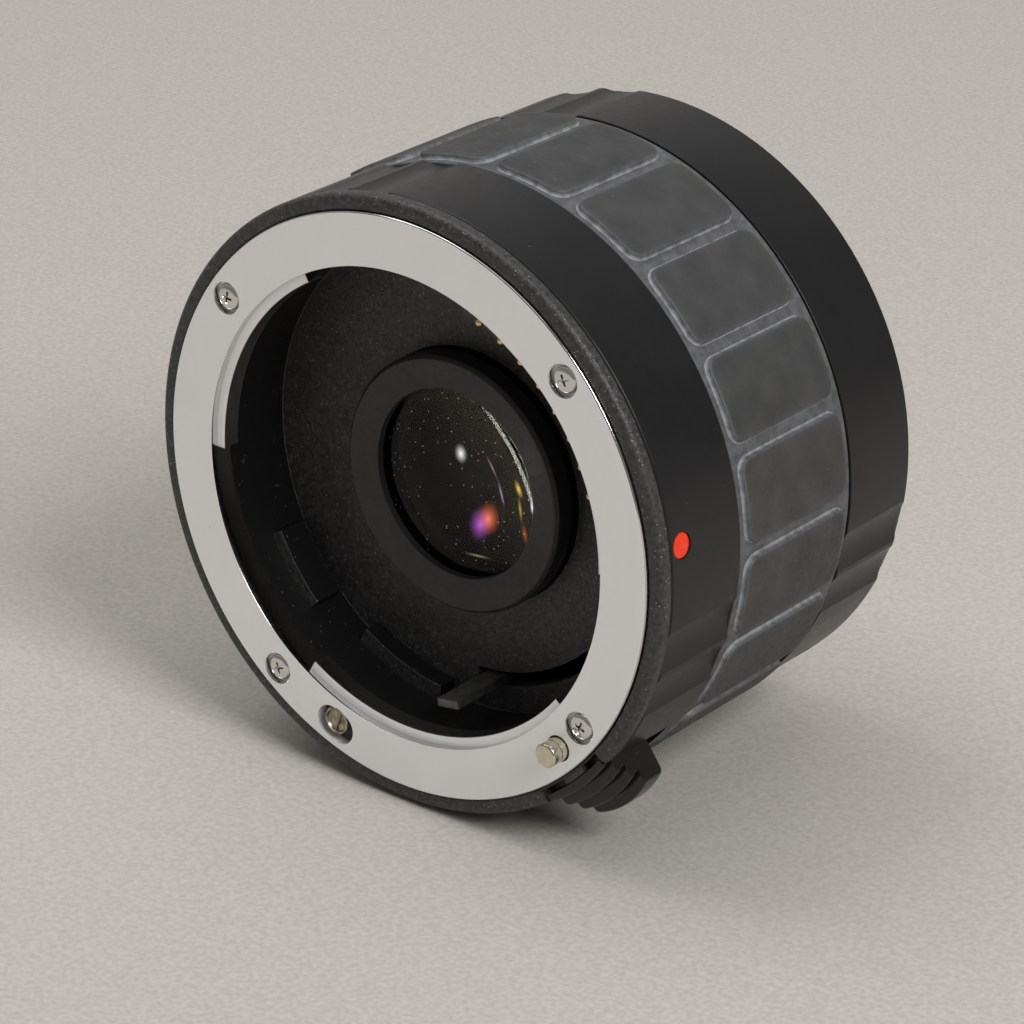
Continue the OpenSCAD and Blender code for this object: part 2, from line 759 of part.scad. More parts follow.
// Axial flutes round the barrel between two depths
module flutes(front, back) {
    for (pair = [0 : flute_pairs - 1], side = [-1, 1])
        at(flute_angle + pair * 360 / flute_pairs + side * flute_pitch / 2,
           body_r - flute_depth + flute_cut_r)
            rod(flute_cut_r, front, back);
}

// Points of a coil along a line, eight to a curl
function coil(radius, length) =
    [for (i = [0 : 8 * curls]) [radius * cos(45 * i), radius * sin(45 * i), length * i / (8 * curls)]];

// Least gap that a coil of wire leaves to itself
function least_gap(path) =
    min([for (i = [0 : len(path) - 6], j = [i + 5 : len(path) - 1]) norm(path[i] - path[j])]) - 2 * wire_r;

function unit(v) = v / norm(v);

// Direction of a path at one of its points
function heading(path, i) =
    unit(path[min(i + 1, len(path) - 1)] - path[max(i - 1, 0)]);

// Six points of wire round one point of a coil about the Z axis
function wire_ring(path, i) =
    let (along = heading(path, i))
    let (out = unit(cross(along, cross([path[i][0], path[i][1], 0], along))))
    let (side = cross(along, out))
    [for (k = [0 : 5]) path[i] + wire_r * (cos(60 * k) * out + sin(60 * k) * side)];

// Wire swept along a coil as one tube
module wire(path) {
    last = len(path) - 1;
    sides = [for (i = [0 : last - 1], k = [0 : 5]) each [
        [6 * i + k, 6 * i + 6 + k, 6 * i + (k + 1) % 6],
        [6 * i + (k + 1) % 6, 6 * i + 6 + k, 6 * i + 6 + (k + 1) % 6]
    ]];
    ends = [for (k = [1 : 4]) each [
        [0, k, k + 1],
        [6 * last, 6 * last + k + 1, 6 * last + k]
    ]];
    polyhedron([for (i = [0 : last]) each wire_ring(path, i)], concat(sides, ends));
}

// Glass element between two spherical surfaces
module element(i) {
    front = vertex[i];
    back = front + glass_t[i];
    front_edge = front + min(0, sag(front_curve[i]));
    back_edge = back + max(0, sag(rear_curve[i]));
    color("lightcyan", 0.6) stand() difference() {
        intersection() {
            rod(glass_r, front_edge, back_edge);
            if (front_curve[i] > 0)
                translate([0, 0, -front - front_curve[i]])
                    sphere(r = front_curve[i], $fn = lens_fn);
            if (rear_curve[i] < 0)
                translate([0, 0, -back - rear_curve[i]])
                    sphere(r = -rear_curve[i], $fn = lens_fn);
        }
        if (front_curve[i] < 0)
            translate([0, 0, -front - front_curve[i]])
                sphere(r = -front_curve[i], $fn = lens_fn);
        if (rear_curve[i] > 0)
            translate([0, 0, -back - rear_curve[i]])
                sphere(r = rear_curve[i], $fn = lens_fn);
    }
}

// Spacer between two elements
module spacer(front, back) {
    color("dimgray") stand() tube(glass_r - spacer_w, glass_r, front, back);
}

// Lens side
module lens_mount_ring() {
    color("silver") stand() difference() {
        union() {
            lathe([
                [throat_r, 0], [mount_ring_r - edge_break, 0], [mount_ring_r, edge_break],
                [mount_ring_r, mount_plate_t], [neck_r, mount_plate_t], [neck_r, neck_back],
                [neck_in_r, neck_back], [neck_in_r, lug_depth], [throat_r, lug_depth]
            ]);
            for (i = [0 : 2])
                sector(lug_from[i], lug_to[i], lug_in_r, (neck_in_r + neck_r) / 2, lug_depth, lug_back);
        }
        for (angle = screw_angles)
            at(angle, screw_pitch_r) {
                head_hole(-over, head_sink + screw_head_h);
                shank_hole(-over, mount_plate_t + over);
            }
        at(pin_angle, pin_pitch_r) rod(pin_r + pin_hole_gap, -over, mount_plate_t + over);
        for (side = [-1, 1])
            at(coupler_angle, coupler_pitch_r) translate([0, coupler_hole_stretch * side, 0])
                rod(coupler_hole_r, -over, lug_back + over);
    }
}

module lens_mount_screws() {
    color("gainsboro") stand() for (angle = screw_angles)
        at(angle, screw_pitch_r) translate([0, 0, -head_sink]) screw(screw_l);
}

module bayonet_springs() {
    color("darkgray") stand() for (i = [0 : 2]) {
        middle = (lug_from[i] + lug_to[i]) / 2;
        sector(middle - leaf_span / 2, middle + leaf_span / 2, lug_in_r + edge_break, neck_r - fit_gap,
               lug_back, lug_back + leaf_t);
    }
}

module front_housing() {
    neck_pocket = lug_back + leaf_t + fit_gap;
    neck_bore_r = neck_r + fit_gap;
    color("#1c1c1d") stand() difference() {
        union() {
            lathe([
                [cell_bore_r, chamber_depth], [chamber_r, chamber_depth], [chamber_r, neck_pocket],
                [neck_bore_r, neck_pocket], [neck_bore_r, mount_plate_t], [rim_in_r, mount_plate_t],
                [rim_in_r, rim_set_back + edge_break], [rim_in_r + edge_break, rim_set_back],
                [body_r - rim_bevel, rim_set_back], [body_r, rim_set_back + rim_bevel], [body_r, rim_back],
                [inner_r, rim_back], [inner_r, wall_back], [wall_in_r, wall_back],
                [wall_in_r, floor_back], [cell_bore_r, floor_back]
            ]);
            // Pad on the side wall and the ledge over the coupler's bore
            sector(pad_span[0], pad_span[1], chamber_r - pad_h, chamber_r + over,
                   chamber_depth - pad_lift - pad_l, chamber_depth - pad_lift);
            sector(coupler_angle - ledge_half, coupler_angle + ledge_half, chamber_r - ledge_w,
                   chamber_r + over, chamber_depth - ledge_h, chamber_depth + over);
            at(anchor_angle, anchor_r) rod(anchor_pin_r, floor_back - over, anchor_back);
        }
        for (angle = screw_angles)
            at(angle, screw_pitch_r) shank_hole(0, head_sink + screw_head_h + screw_l + screw_end);
        at(coupler_angle, coupler_pitch_r) rod(coupler_bore_r, 0, wall_back + over);
        // Guide, pocket and tail bore of the release
        at(pin_angle, pin_pitch_r) rod(pin_bore_r, 0, pocket_front + over);
        sector(pin_angle - pocket_half, pin_angle + pocket_half, leg_in_r - pass_gap, body_r,
               pocket_front, pocket_back);
        at(pin_angle, pin_pitch_r) rod(pin_tail_r + run_gap, pocket_back - over, wall_back + over);
        // Notch in the rim for the finger lever, with a stop block left in its middle
        difference() {
            sector(lever_angle - track_half, lever_angle + track_half, rim_in_r + edge_break,
                   body_r + over, -over, rim_back + over);
            rotate([0, 0, lever_angle + stop_offset])
                sector(-stop_half, stop_half, rim_in_r - over, track_r,
                       rim_set_back + edge_break, rim_back + 2 * over);
        }
        lever_slot(aperture_angle, front_lever_r, chamber_depth - over, floor_back + over);
        flex_slot(flex_r, chamber_depth - over, floor_back + over);
        for (angle = barrel_screw_angles)
            at(angle, barrel_screw_pitch_r)
                shank_hole(floor_back - barrel_screw_l - screw_end, floor_back + over);
        for (angle = shell_screw_angles)
            rotate([0, 0, angle])
                spoke(shell_screw_r + fit_gap, inner_r - shell_screw_l - screw_end, inner_r + over,
                      front_row);
    }
}

module front_shell() {
    color("#161617") stand() difference() {
        lathe([
            [shell_in_r, rim_back], [body_r - groove_h, rim_back],
            [body_r - groove_h, rim_back + groove_w], [body_r - edge_break, rim_back + groove_w],
            [body_r, rim_back + groove_w + edge_break], [body_r, band_end], [grip_seat_r, band_end],
            [grip_seat_r, shell_end], [shell_in_r, shell_end]
        ]);
        flutes(rim_back - over, band_end);
        sector(lever_angle - track_half, lever_angle + track_half, track_r, body_r + over,
               rim_back - over, track_back);
        sector(pin_angle - pocket_half, pin_angle + pocket_half, shell_in_r - over, body_r + over,
               pocket_front, leg_back + release_travel + pass_gap);
        rotate([0, 0, front_dot_angle])
            spoke(dot_d / 2, body_r - dot_recess, body_r + over, front_dot_depth);
        for (angle = shell_screw_angles, depth = [front_row, rear_row])
            rotate([0, 0, angle])
                spoke(shell_screw_r + fit_gap, shell_in_r - over, body_r + over, depth);
    }
}

module shell_screws() {
    color("gray") stand() for (angle = shell_screw_angles) rotate([0, 0, angle]) {
        spoke(shell_screw_r, inner_r - shell_screw_l, grip_seat_r, front_row);
        spoke(shell_screw_r, inner_r - skirt_t, grip_seat_r, rear_row);
    }
}

// Outline of a grip panel, with round corners
function panel_outline(length, width) = [
    for (quarter = [0 : 3], step = [0 : 6])
        let (angle = 90 * quarter + 15 * step)
        let (x = quarter == 0 || quarter == 3 ? 1 : -1)
        let (y = quarter < 2 ? 1 : -1)
        [x * (length / 2 - panel_corner) + panel_corner * cos(angle),
         y * (width / 2 - panel_corner) + panel_corner * sin(angle)]
];

module grip_ring() {
    panel_l = grip_l - 2 * panel_border;
    panel_w = 2 * PI * grip_base_r / panels - channel_w;
    color("#3b3c3d") stand() {
        tube(grip_seat_r + fit_gap, grip_base_r, band_end + fit_gap, shell_end);
        for (k = [0 : panels - 1])
            rotate([0, 0, (k + 0.5) * 360 / panels])
                intersection() {
                    rod(grip_r, band_end, shell_end);
                    translate([grip_base_r - grip_base_t / 2, 0, -(band_end + shell_end) / 2])
                        rotate([0, 90, 0])
                            linear_extrude(panel_h + grip_base_t)
                                polygon(panel_outline(panel_l, panel_w));
                }
    }
}

module rear_ring() {
    color("#161617") stand() difference() {
        lathe([
            [inner_r + fit_gap, rear_ring_front], [body_r - edge_break, rear_ring_front],
            [body_r, rear_ring_front + edge_break], [body_r, rear_ring_back - rear_bevel],
            [body_r - rear_bevel, rear_ring_back], [inner_r + fit_gap, rear_ring_back]
        ]);
        flutes(rear_ring_front - over, rear_ring_back + over);
        rotate([0, 0, front_dot_angle - mount_turn])
            spoke(dot_d / 2, body_r - dot_recess, body_r + over, rear_ring_back - rear_dot_inset);
    }
}

module index_dot(angle, depth) {
    color("red") stand() rotate([0, 0, angle])
        spoke(dot_d / 2 - fit_gap, body_r - dot_recess, body_r - dot_sink, depth);
}

module front_index_dot() index_dot(front_dot_angle, front_dot_depth);
module rear_index_dot() index_dot(front_dot_angle - mount_turn, rear_ring_back - rear_dot_inset);

// Optics
module lens_barrel() {
    color("#222223") stand() difference() {
        lathe([
            [barrel_in_r, barrel_front], [barrel_r, barrel_front], [barrel_r, floor_back],
            [barrel_flange_r, floor_back], [barrel_flange_r, barrel_flange_back],
            [barrel_r, barrel_flange_back], [barrel_r, clip_front - fit_gap],
            [barrel_r - clip_groove, clip_front - fit_gap],
            [barrel_r - clip_groove, clip_front + clip_t + fit_gap],
            [barrel_r, clip_front + clip_t + fit_gap], [barrel_r, barrel_back],
            [barrel_in_r, barrel_back]
        ]);
        for (angle = barrel_screw_angles)
            at(angle, barrel_screw_pitch_r) {
                shank_hole(floor_back - over, barrel_flange_back + over);
                head_hole(barrel_flange_back - screw_head_h, barrel_flange_back + over);
            }
    }
}

module barrel_screws() {
    color("gray") stand() for (angle = barrel_screw_angles)
        at(angle, barrel_screw_pitch_r)
            translate([0, 0, -barrel_flange_back]) mirror([0, 0, 1])
                screw(barrel_flange_t - screw_head_h + barrel_screw_l);
}

module front_retaining_ring() {
    color("#323234") stand() lathe([
        [clear_r, cell_front + retainer_slope], [barrel_r - retainer_bevel, cell_front],
        [barrel_r, cell_front + retainer_bevel], [barrel_r, barrel_front], [lip_r, barrel_front],
        [lip_r, barrel_front + front_lip_l], [clear_r + edge_break, barrel_front + front_lip_l],
        [clear_r, barrel_front + front_lip_l - edge_break]
    ]);
}

module rear_retaining_ring() {
    color("#222223") stand() lathe([
        [clear_r, rear_lip], [lip_r, rear_lip], [lip_r, barrel_back], [barrel_r, barrel_back],
        [barrel_r, rear_cell_back - retainer_bevel], [barrel_r - retainer_bevel, rear_cell_back],
        [clear_r + retainer_slope, rear_cell_back], [clear_r, rear_cell_back - retainer_slope]
    ]);
}

module element_1() element(0);
module element_2() element(1);
module element_3() element(2);
module element_4() element(3);
module element_5() element(4);
module element_6() element(5);
module element_7() element(6);

module spacer_1() spacer(edge_2 + fit_gap, edge_2 + fit_gap + spacer_1_l);
module spacer_2() spacer(edge_4 + fit_gap, edge_5 - fit_gap);
module spacer_3() spacer(spacer_3_back - spacer_3_l, spacer_3_back);

// Contacts and electronics
module at_contact(i) {
    at(contact_angle + (i - (contact_count + 1) / 2) * contact_pitch, contact_pitch_r)
        children();
}

module front_contact_block() {
    color("#1a1a1b") stand() difference() {
        sector(block_from, block_to, block_in_r, block_out_r, block_depth, chamber_depth);
        for (i = [1 : contact_count]) at_contact(i) {
            rod(contact_bore_r, block_depth - over, chamber_depth + over);
            rod(collar_bore_r, collar_front, chamber_depth + over);
        }
    }
}

module contact_pin(i) {
    color("gold") stand() at_contact(i) {
        translate([0, 0, -contact_depth - contact_r]) sphere(r = contact_r);
        rod(contact_r, contact_depth + contact_r, collar_seat);
        rod(contact_collar_r, collar_seat, contact_back);
    }
}

module contact_pin_1() contact_pin(1);
module contact_pin_2() contact_pin(2);
module contact_pin_3() contact_pin(3);
module contact_pin_4() contact_pin(4);
module contact_pin_5() contact_pin(5);
module contact_pin_6() contact_pin(6);
module contact_pin_7() contact_pin(7);
module contact_pin_8() contact_pin(8);

module front_flex_cable() {
    color("darkorange") stand()
        sector(flex_from, flex_to, flex_r, flex_r + flex_t, chamber_depth, board_front);
}

module circuit_board() {
    color("darkgreen") stand() difference() {
        sector(board_from, board_to, board_in_r, board_out_r, board_front, board_back);
        for (angle = board_screw_angles)
            at(angle, board_screw_r) shank_hole(board_front - over, board_back + over);
    }
}

module processor_chip() {
    color("#101010") stand() at((board_from + board_to) / 2, (board_in_r + board_out_r) / 2)
        bar(chip_w, chip_w, board_front - chip_t, board_front);
}

module board_screws() {
    color("gainsboro") stand() for (angle = board_screw_angles)
        at(angle, board_screw_r) translate([0, 0, screw_head_h - board_front])
            screw(board_t + board_screw_l);
}

module rear_flex_cable() {
    color("darkorange") stand()
        sector(flex_from, flex_to, rear_flex_r, rear_flex_r + flex_t, board_back, rear_seat);
}

module rear_contact_block() {
    color("#1a1a1b") stand() difference() {
        sector(block_from, block_to, rear_block_in_r, rear_block_out_r, rear_seat, rear_block_back);
        for (i = [1 : contact_count]) at_contact(i)
            rod(pad_r + fit_gap, rear_block_back - pad_recess, rear_block_back + over);
    }
}

module rear_contact_pads() {
    color("gold") stand() for (i = [1 : contact_count]) at_contact(i)
        rod(pad_r, rear_block_back - pad_recess, rear_block_back + pad_rise);
}

// Camera side
module rear_housing() {
    color("#1c1c1d") stand() difference() {
        union() {
            lathe([
                [cell_bore_r, rear_wall_front], [inner_r - skirt_t, rear_wall_front],
                [inner_r - skirt_t, skirt_front], [inner_r, skirt_front], [inner_r, rear_seat],
                [cell_bore_r, rear_seat]
            ]);
            for (angle = board_screw_angles)
                at(angle, board_screw_r) rod(post_r, board_back, rear_wall_front + over);
        }
        for (angle = board_screw_angles)
            at(angle, board_screw_r) shank_hole(board_back - over, board_back + board_screw_l + screw_end);
        for (angle = rear_screw_angles)
            at(angle, screw_pitch_r)
                shank_hole(rear_face - head_sink - screw_head_h - rear_screw_l - screw_end,
                           rear_seat + over);
        // Bore of the coupler and the counterbore for its collar, which cuts into the skirt
        at(coupler_angle, coupler_pitch_r) {
            rod(coupler_bore_r, rear_wall_front - over, rear_seat + over);
            rod(collar_r + pass_gap, skirt_front - over, rear_wall_front + collar_sink);
        }
        at(pin_angle, pin_pitch_r) rod(pin_bore_r, rear_face - lock_hole_l, rear_seat + over);
        lever_slot(rear_aperture_angle, rear_lever_r, rear_wall_front - over, rear_seat + over);
        flex_slot(rear_flex_r, rear_wall_front - over, rear_seat + over);
        for (angle = shell_screw_angles)
            rotate([0, 0, angle])
                spoke(shell_screw_r + fit_gap, inner_r - skirt_t - over, inner_r + over, rear_row);
    }
}

module rear_mount_ring() {
    color("silver") stand() difference() {
        union() {
            lathe([
                [spigot_in_r, rear_seat], [rear_plate_r, rear_seat],
                [rear_plate_r, rear_face - edge_break], [rear_plate_r - edge_break, rear_face],
                [spigot_r, rear_face], [spigot_r, spigot_back - lead_in],
                [spigot_r - lead_in, spigot_back], [spigot_in_r, spigot_back]
            ]);
            // Tabs that pass between the lugs of a camera and turn in behind them
            for (i = [0 : 2])
                sector(lug_to[i] + tab_play - mount_turn, next_lug[i] - tab_play - mount_turn,
                       spigot_r - spigot_t / 2, tab_r, tab_front, spigot_back);
        }
        for (angle = rear_screw_angles)
            at(angle, screw_pitch_r) {
                shank_hole(rear_seat - over, rear_face + over);
                head_hole(rear_face - head_sink - screw_head_h, rear_face + over);
            }
        at(coupler_angle, coupler_pitch_r) rod(coupler_hole_r, rear_seat - over, rear_face + over);
        at(pin_angle, pin_pitch_r) rod(pin_bore_r, rear_seat - over, rear_face + over);
        sector(block_from - block_play, block_to + block_play, rear_block_in_r,
               rear_block_out_r + fit_gap, rear_seat - over, spigot_back + over);
    }
}

module rear_mount_screws() {
    color("gainsboro") stand() for (angle = rear_screw_angles)
        at(angle, screw_pitch_r) translate([0, 0, head_sink - rear_face]) mirror([0, 0, 1])
            screw(rear_screw_l);
}

module rear_baffle() {
    color("#141414") stand() difference() {
        union() {
            rod(spigot_in_r - fit_gap, rear_seat, rear_seat + baffle_t);
            translate([0, 0, -rear_seat - baffle_t - hood_h])
                linear_extrude(hood_h + baffle_t)
                    rounded(window_w + 2 * hood_t, window_h + 2 * hood_t, window_corner + hood_t);
        }
        translate([0, 0, -rear_seat - baffle_t - hood_h - over])
            linear_extrude(hood_h + baffle_t + 2 * over)
                rounded(window_w, window_h, window_corner);
        sector(block_from - block_play, block_to + block_play, rear_block_in_r - fit_gap, throat_r,
               rear_seat - over, rear_face + over);
        lever_slot(rear_aperture_angle, rear_lever_r, rear_seat - over, rear_face + over);
    }
}

// Release
// Outline of one finger ridge: a round crest, which falls to a valley before the next one
function ridge(i) =
    let (last = i == lever_ridges - 1)
    let (crest = body_r + first_ridge_h + i * (lever_h - first_ridge_h) / (lever_ridges - 1))
    let (front = lever_front + i * ridge_pitch)
    concat(
        [for (turn = [0 : 30 : last ? 90 : 150])
            [crest - ridge_round * (1 - sin(turn)), front + ridge_round * (1 - cos(turn))]],
        last ? [] : [[crest - ridge_drop, front + ridge_pitch - edge_break]]
    );

module release_lever() {
    base_w = 2 * lever_in_r * sin(lever_half);
    base_x = lever_in_r * cos(lever_half);
    top_w = base_w - 2 * lever_draft;
    color("#18181a") stand() difference() {
        union() {
            intersection() {
                sector(lever_angle - lever_half, lever_angle + lever_half, 0, lever_top_r + over,
                       lever_front, lever_back);
                lathe([
                    [lever_in_r, lever_front],
                    for (i = [0 : lever_ridges - 1]) each ridge(i),
                    [lever_top_r, lever_back - ridge_round], [lever_top_r - ridge_round, lever_back],
                    [lever_in_r, lever_back]
                ]);
                rotate([0, 0, lever_angle]) translate([0, 0, -lever_back - over])
                    linear_extrude(lever_l + 2 * over)
                        polygon([
                            [0, -base_w / 2], [base_x, -base_w / 2], [lever_top_r + over, -top_w / 2],
                            [lever_top_r + over, top_w / 2], [base_x, base_w / 2], [0, base_w / 2]
                        ]);
            }
            sector(pin_angle - leg_half, pin_angle + leg_half, leg_in_r, lever_in_r + pass_gap,
                   leg_front, leg_back);
        }
        at(pin_angle, pin_pitch_r) rod(pin_r + fit_gap, leg_front - over, leg_back + over);
    }
}

module lock_pin() {
    groove_front = pin_groove_from - pin_proud;
    color("#d8cfb8") stand() at(pin_angle, pin_pitch_r) lathe([
        [0, -pin_proud], [pin_r - edge_break, -pin_proud], [pin_r, edge_break - pin_proud],
        [pin_r, groove_front], [pin_r - pin_groove, groove_front],
        [pin_r - pin_groove, groove_front + pin_groove], [pin_r, groove_front + pin_groove],
        [pin_r, leg_back], [pin_tail_r, leg_back], [pin_tail_r, tail_back], [0, tail_back]
    ]);
}

module release_spring() {
    path = coil(release_coil_r, release_spring_to - release_spring_from - 2 * wire_r);
    echo(release_spring_gap = least_gap(path));
    color("lightgray") stand() at(pin_angle, pin_pitch_r)
        translate([0, 0, wire_r - release_spring_to]) wire(path);
}

// Focus coupler
module coupler_tip() {
    color("#8d7f5f") stand() at(coupler_angle, coupler_pitch_r) {
        rod(coupler_r, tip_depth, tip_back);
        intersection() {
            bar(2 * coupler_r, blade_t, tip_depth - blade_h, tip_depth + fit_gap);
            rod(coupler_r - edge_break, tip_depth - blade_h, tip_depth + fit_gap);
        }
        bar(stem_w, stem_w, tip_back - fit_gap, stem_back);
    }
}

module coupler_shaft() {
    color("#9a9a98") stand() at(coupler_angle, coupler_pitch_r) difference() {
        // Front journal, two collars and rear journal, with the shank relieved between them
        lathe([
            [0, shaft_front], [coupler_r, shaft_front], [coupler_r, front_collar],
            [collar_r, front_collar], [collar_r, front_collar + collar_t],
            [coupler_r, front_collar + collar_t], [coupler_r, socket_back + collar_t],
            [shaft_r, socket_back + collar_t], [shaft_r, rear_collar], [collar_r, rear_collar],
            [collar_r, rear_collar + collar_t], [coupler_r, rear_collar + collar_t],
            [coupler_r, shaft_back], [0, shaft_back]
        ]);
        bar(stem_w + 2 * run_gap, stem_w + 2 * run_gap, shaft_front - over, socket_back);
        bar(3 * coupler_r, slot_w, shaft_back - slot_h, shaft_back + over);
    }
}

module coupler_spring() {
    from = tip_back + fit_gap;
    to = shaft_front - fit_gap;
    path = coil(coupler_coil_r, to - from - 2 * wire_r);
    echo(coupler_spring_gap = least_gap(path));
    color("lightgray") stand() at(coupler_angle, coupler_pitch_r)
        translate([0, 0, wire_r - to]) wire(path);
}

// Aperture drive
module aperture_ring() {
    color("#b9b9b4") stand() {
        tube(drive_in_r, drive_r, drive_front, drive_back);
        sector(hook_angle - hook_half, hook_angle + hook_half, drive_r - over, anchor_r + hook_rim,
               drive_front, drive_back);
        at(hook_angle, anchor_r) rod(anchor_pin_r, drive_back - over, anchor_back);
    }
}

module front_aperture_lever() {
    color("#6d6d6a") stand() {
        sector(aperture_angle - aperture_half, aperture_angle + aperture_half, arm_in_r, front_lever_r,
               drive_back, arm_back);
        sector(aperture_angle - aperture_half, aperture_angle + aperture_half,
               front_lever_r - lever_t, front_lever_r, front_lever_depth, drive_back + fit_gap);
    }
}

module rear_aperture_lever() {
    color("#6d6d6a") stand() {
        sector(rear_aperture_angle - aperture_half, rear_aperture_angle + aperture_half,
               arm_in_r, rear_lever_r, drive_back, arm_back);
        sector(rear_aperture_angle - aperture_half, rear_aperture_angle + aperture_half,
               rear_lever_r - lever_t, rear_lever_r, arm_back - fit_gap, rear_lever_back);
    }
}

module aperture_clip() {
    color("gray") stand()
        sector(clip_span[0], clip_span[1], barrel_r - clip_groove + fit_gap, barrel_r + clip_h,
               clip_front, clip_front + clip_t);
}

module aperture_spring() {
    reach = 2 * anchor_r * sin((hook_angle - anchor_angle) / 2) - 2 * anchor_pin_r;
    path = coil(aperture_coil_r, reach - 2 * wire_r - 2 * fit_gap);
    middle = (hook_angle + anchor_angle) / 2;
    echo(aperture_spring_gap = least_gap(path));
    color("lightgray") stand()
        at(middle, anchor_r * cos((hook_angle - anchor_angle) / 2))
            translate([0, reach / 2 - wire_r - fit_gap, -(arm_back + anchor_back) / 2])
                rotate([90, 0, 0]) wire(path);
}

lens_mount_ring();
lens_mount_screws();
bayonet_springs();
front_housing();
front_shell();
shell_screws();
grip_ring();
rear_ring();
front_index_dot();
rear_index_dot();
lens_barrel();
barrel_screws();
front_retaining_ring();
rear_retaining_ring();
element_1();
element_2();
element_3();
element_4();
element_5();
element_6();
element_7();
spacer_1();
spacer_2();
spacer_3();
front_contact_block();
front_flex_cable();
circuit_board();
processor_chip();
board_screws();
rear_flex_cable();
rear_contact_block();
rear_contact_pads();
rear_housing();
rear_mount_ring();
rear_mount_screws();
rear_baffle();
release_lever();
lock_pin();
release_spring();
coupler_tip();
coupler_shaft();
coupler_spring();
aperture_ring();
front_aperture_lever();
rear_aperture_lever();
aperture_clip();
aperture_spring();
contact_pin_1();
contact_pin_2();
contact_pin_3();
contact_pin_4();
contact_pin_5();
contact_pin_6();
contact_pin_7();
contact_pin_8();
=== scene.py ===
import math

import bmesh
import bpy
import numpy as np
from mathutils import Matrix, Vector


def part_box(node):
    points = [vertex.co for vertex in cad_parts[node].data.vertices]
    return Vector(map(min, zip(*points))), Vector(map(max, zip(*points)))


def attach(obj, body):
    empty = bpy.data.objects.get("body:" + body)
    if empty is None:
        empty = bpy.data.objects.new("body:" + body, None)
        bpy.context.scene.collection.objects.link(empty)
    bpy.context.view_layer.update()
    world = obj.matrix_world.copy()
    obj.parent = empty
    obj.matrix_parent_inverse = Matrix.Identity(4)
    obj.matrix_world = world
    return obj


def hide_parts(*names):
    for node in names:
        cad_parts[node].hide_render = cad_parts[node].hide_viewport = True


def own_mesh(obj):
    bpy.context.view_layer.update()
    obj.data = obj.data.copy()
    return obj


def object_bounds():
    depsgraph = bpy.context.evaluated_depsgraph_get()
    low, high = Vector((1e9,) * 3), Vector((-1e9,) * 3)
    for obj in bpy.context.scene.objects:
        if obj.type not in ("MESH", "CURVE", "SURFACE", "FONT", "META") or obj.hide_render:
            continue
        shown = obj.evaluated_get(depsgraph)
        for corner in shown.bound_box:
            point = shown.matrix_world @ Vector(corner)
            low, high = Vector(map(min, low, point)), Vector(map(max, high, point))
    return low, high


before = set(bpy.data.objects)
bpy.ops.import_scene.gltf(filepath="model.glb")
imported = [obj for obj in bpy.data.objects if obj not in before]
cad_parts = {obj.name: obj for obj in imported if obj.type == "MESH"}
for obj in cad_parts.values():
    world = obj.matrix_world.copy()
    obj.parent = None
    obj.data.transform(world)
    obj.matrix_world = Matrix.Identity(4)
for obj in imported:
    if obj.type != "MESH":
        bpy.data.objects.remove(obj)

cad_low, cad_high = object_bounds()

# Camera: a long lens above and to the right of the silver mount, level with the table.
# Its place was found from the ring, the grip and the rear edge in the photograph.
camera_lens = bpy.data.cameras.new("camera")
camera_lens.lens = 138.893
camera_lens.sensor_width = 36
camera_lens.clip_start = 0.01
camera = bpy.data.objects.new("camera", camera_lens)
camera_right = Vector((0.77643, 0.63020, -0.00087))
camera_up = Vector((-0.26026, 0.32190, 0.91030))
camera_back = Vector((0.57395, -0.70656, 0.41395))
camera_spot = Vector((0.230867, -0.266574, 0.160236))
camera.matrix_world = Matrix((camera_right, camera_up, camera_back)).transposed().to_4x4()
camera.matrix_world.translation = camera_spot
bpy.context.scene.collection.objects.link(camera)
bpy.context.scene.camera = camera
bpy.context.scene.view_settings.view_transform = "Standard"


# Table: a sheet of pale warm grey paper that the barrel lies on, rolled out flat.
# Its faint fibres are a fine mottle of the paper itself.
def start_finish(name, colour, roughness, metallic=0.0, **more):
    """A finish whose plain values sit on the surface's own sockets."""
    finish = bpy.data.materials.new(name)
    finish.use_nodes = True
    surface = finish.node_tree.nodes["Principled BSDF"]
    surface.inputs["Base Color"].default_value = (*colour, 1)
    surface.inputs["Roughness"].default_value = roughness
    surface.inputs["Metallic"].default_value = metallic
    for socket, value in more.items():
        surface.inputs[socket.replace("_", " ")].default_value = value
    return finish


def step(finish, kind, inputs, **settings):
    """One node of a finish, with its inputs set or linked."""
    node = finish.node_tree.nodes.new(kind)
    for name, value in settings.items():
        setattr(node, name, value)
    for name, value in inputs.items():
        if isinstance(value, bpy.types.NodeSocket):
            finish.node_tree.links.new(value, node.inputs[name])
        else:
            node.inputs[name].default_value = value
    return node


def to_surface(finish, socket, value):
    finish.node_tree.links.new(value, finish.node_tree.nodes["Principled BSDF"].inputs[socket])


def grain(finish, size, detail=3.0):
    """Cloudy pattern whose clouds are about size millimetres across."""
    place = step(finish, "ShaderNodeTexCoord", {}).outputs["Object"]
    return step(finish, "ShaderNodeTexNoise",
                {"Vector": place, "Scale": 1000 / size, "Detail": detail}).outputs["Fac"]


def levels(finish, value, low, high, to_low=0.0, to_high=1.0):
    return step(finish, "ShaderNodeMapRange", {
        "Value": value, "From Min": low, "From Max": high, "To Min": to_low, "To Max": to_high,
    }).outputs["Result"]


def between(finish, amount, first, second):
    """Colour between two colours, or between another pattern and a colour."""
    mix = step(finish, "ShaderNodeMix", {}, data_type="RGBA")
    for index, value in ((0, amount), (6, first), (7, second)):
        if isinstance(value, bpy.types.NodeSocket):
            finish.node_tree.links.new(value, mix.inputs[index])
        else:
            mix.inputs[index].default_value = value if index == 0 else (*value, 1)
    return mix.outputs[2]


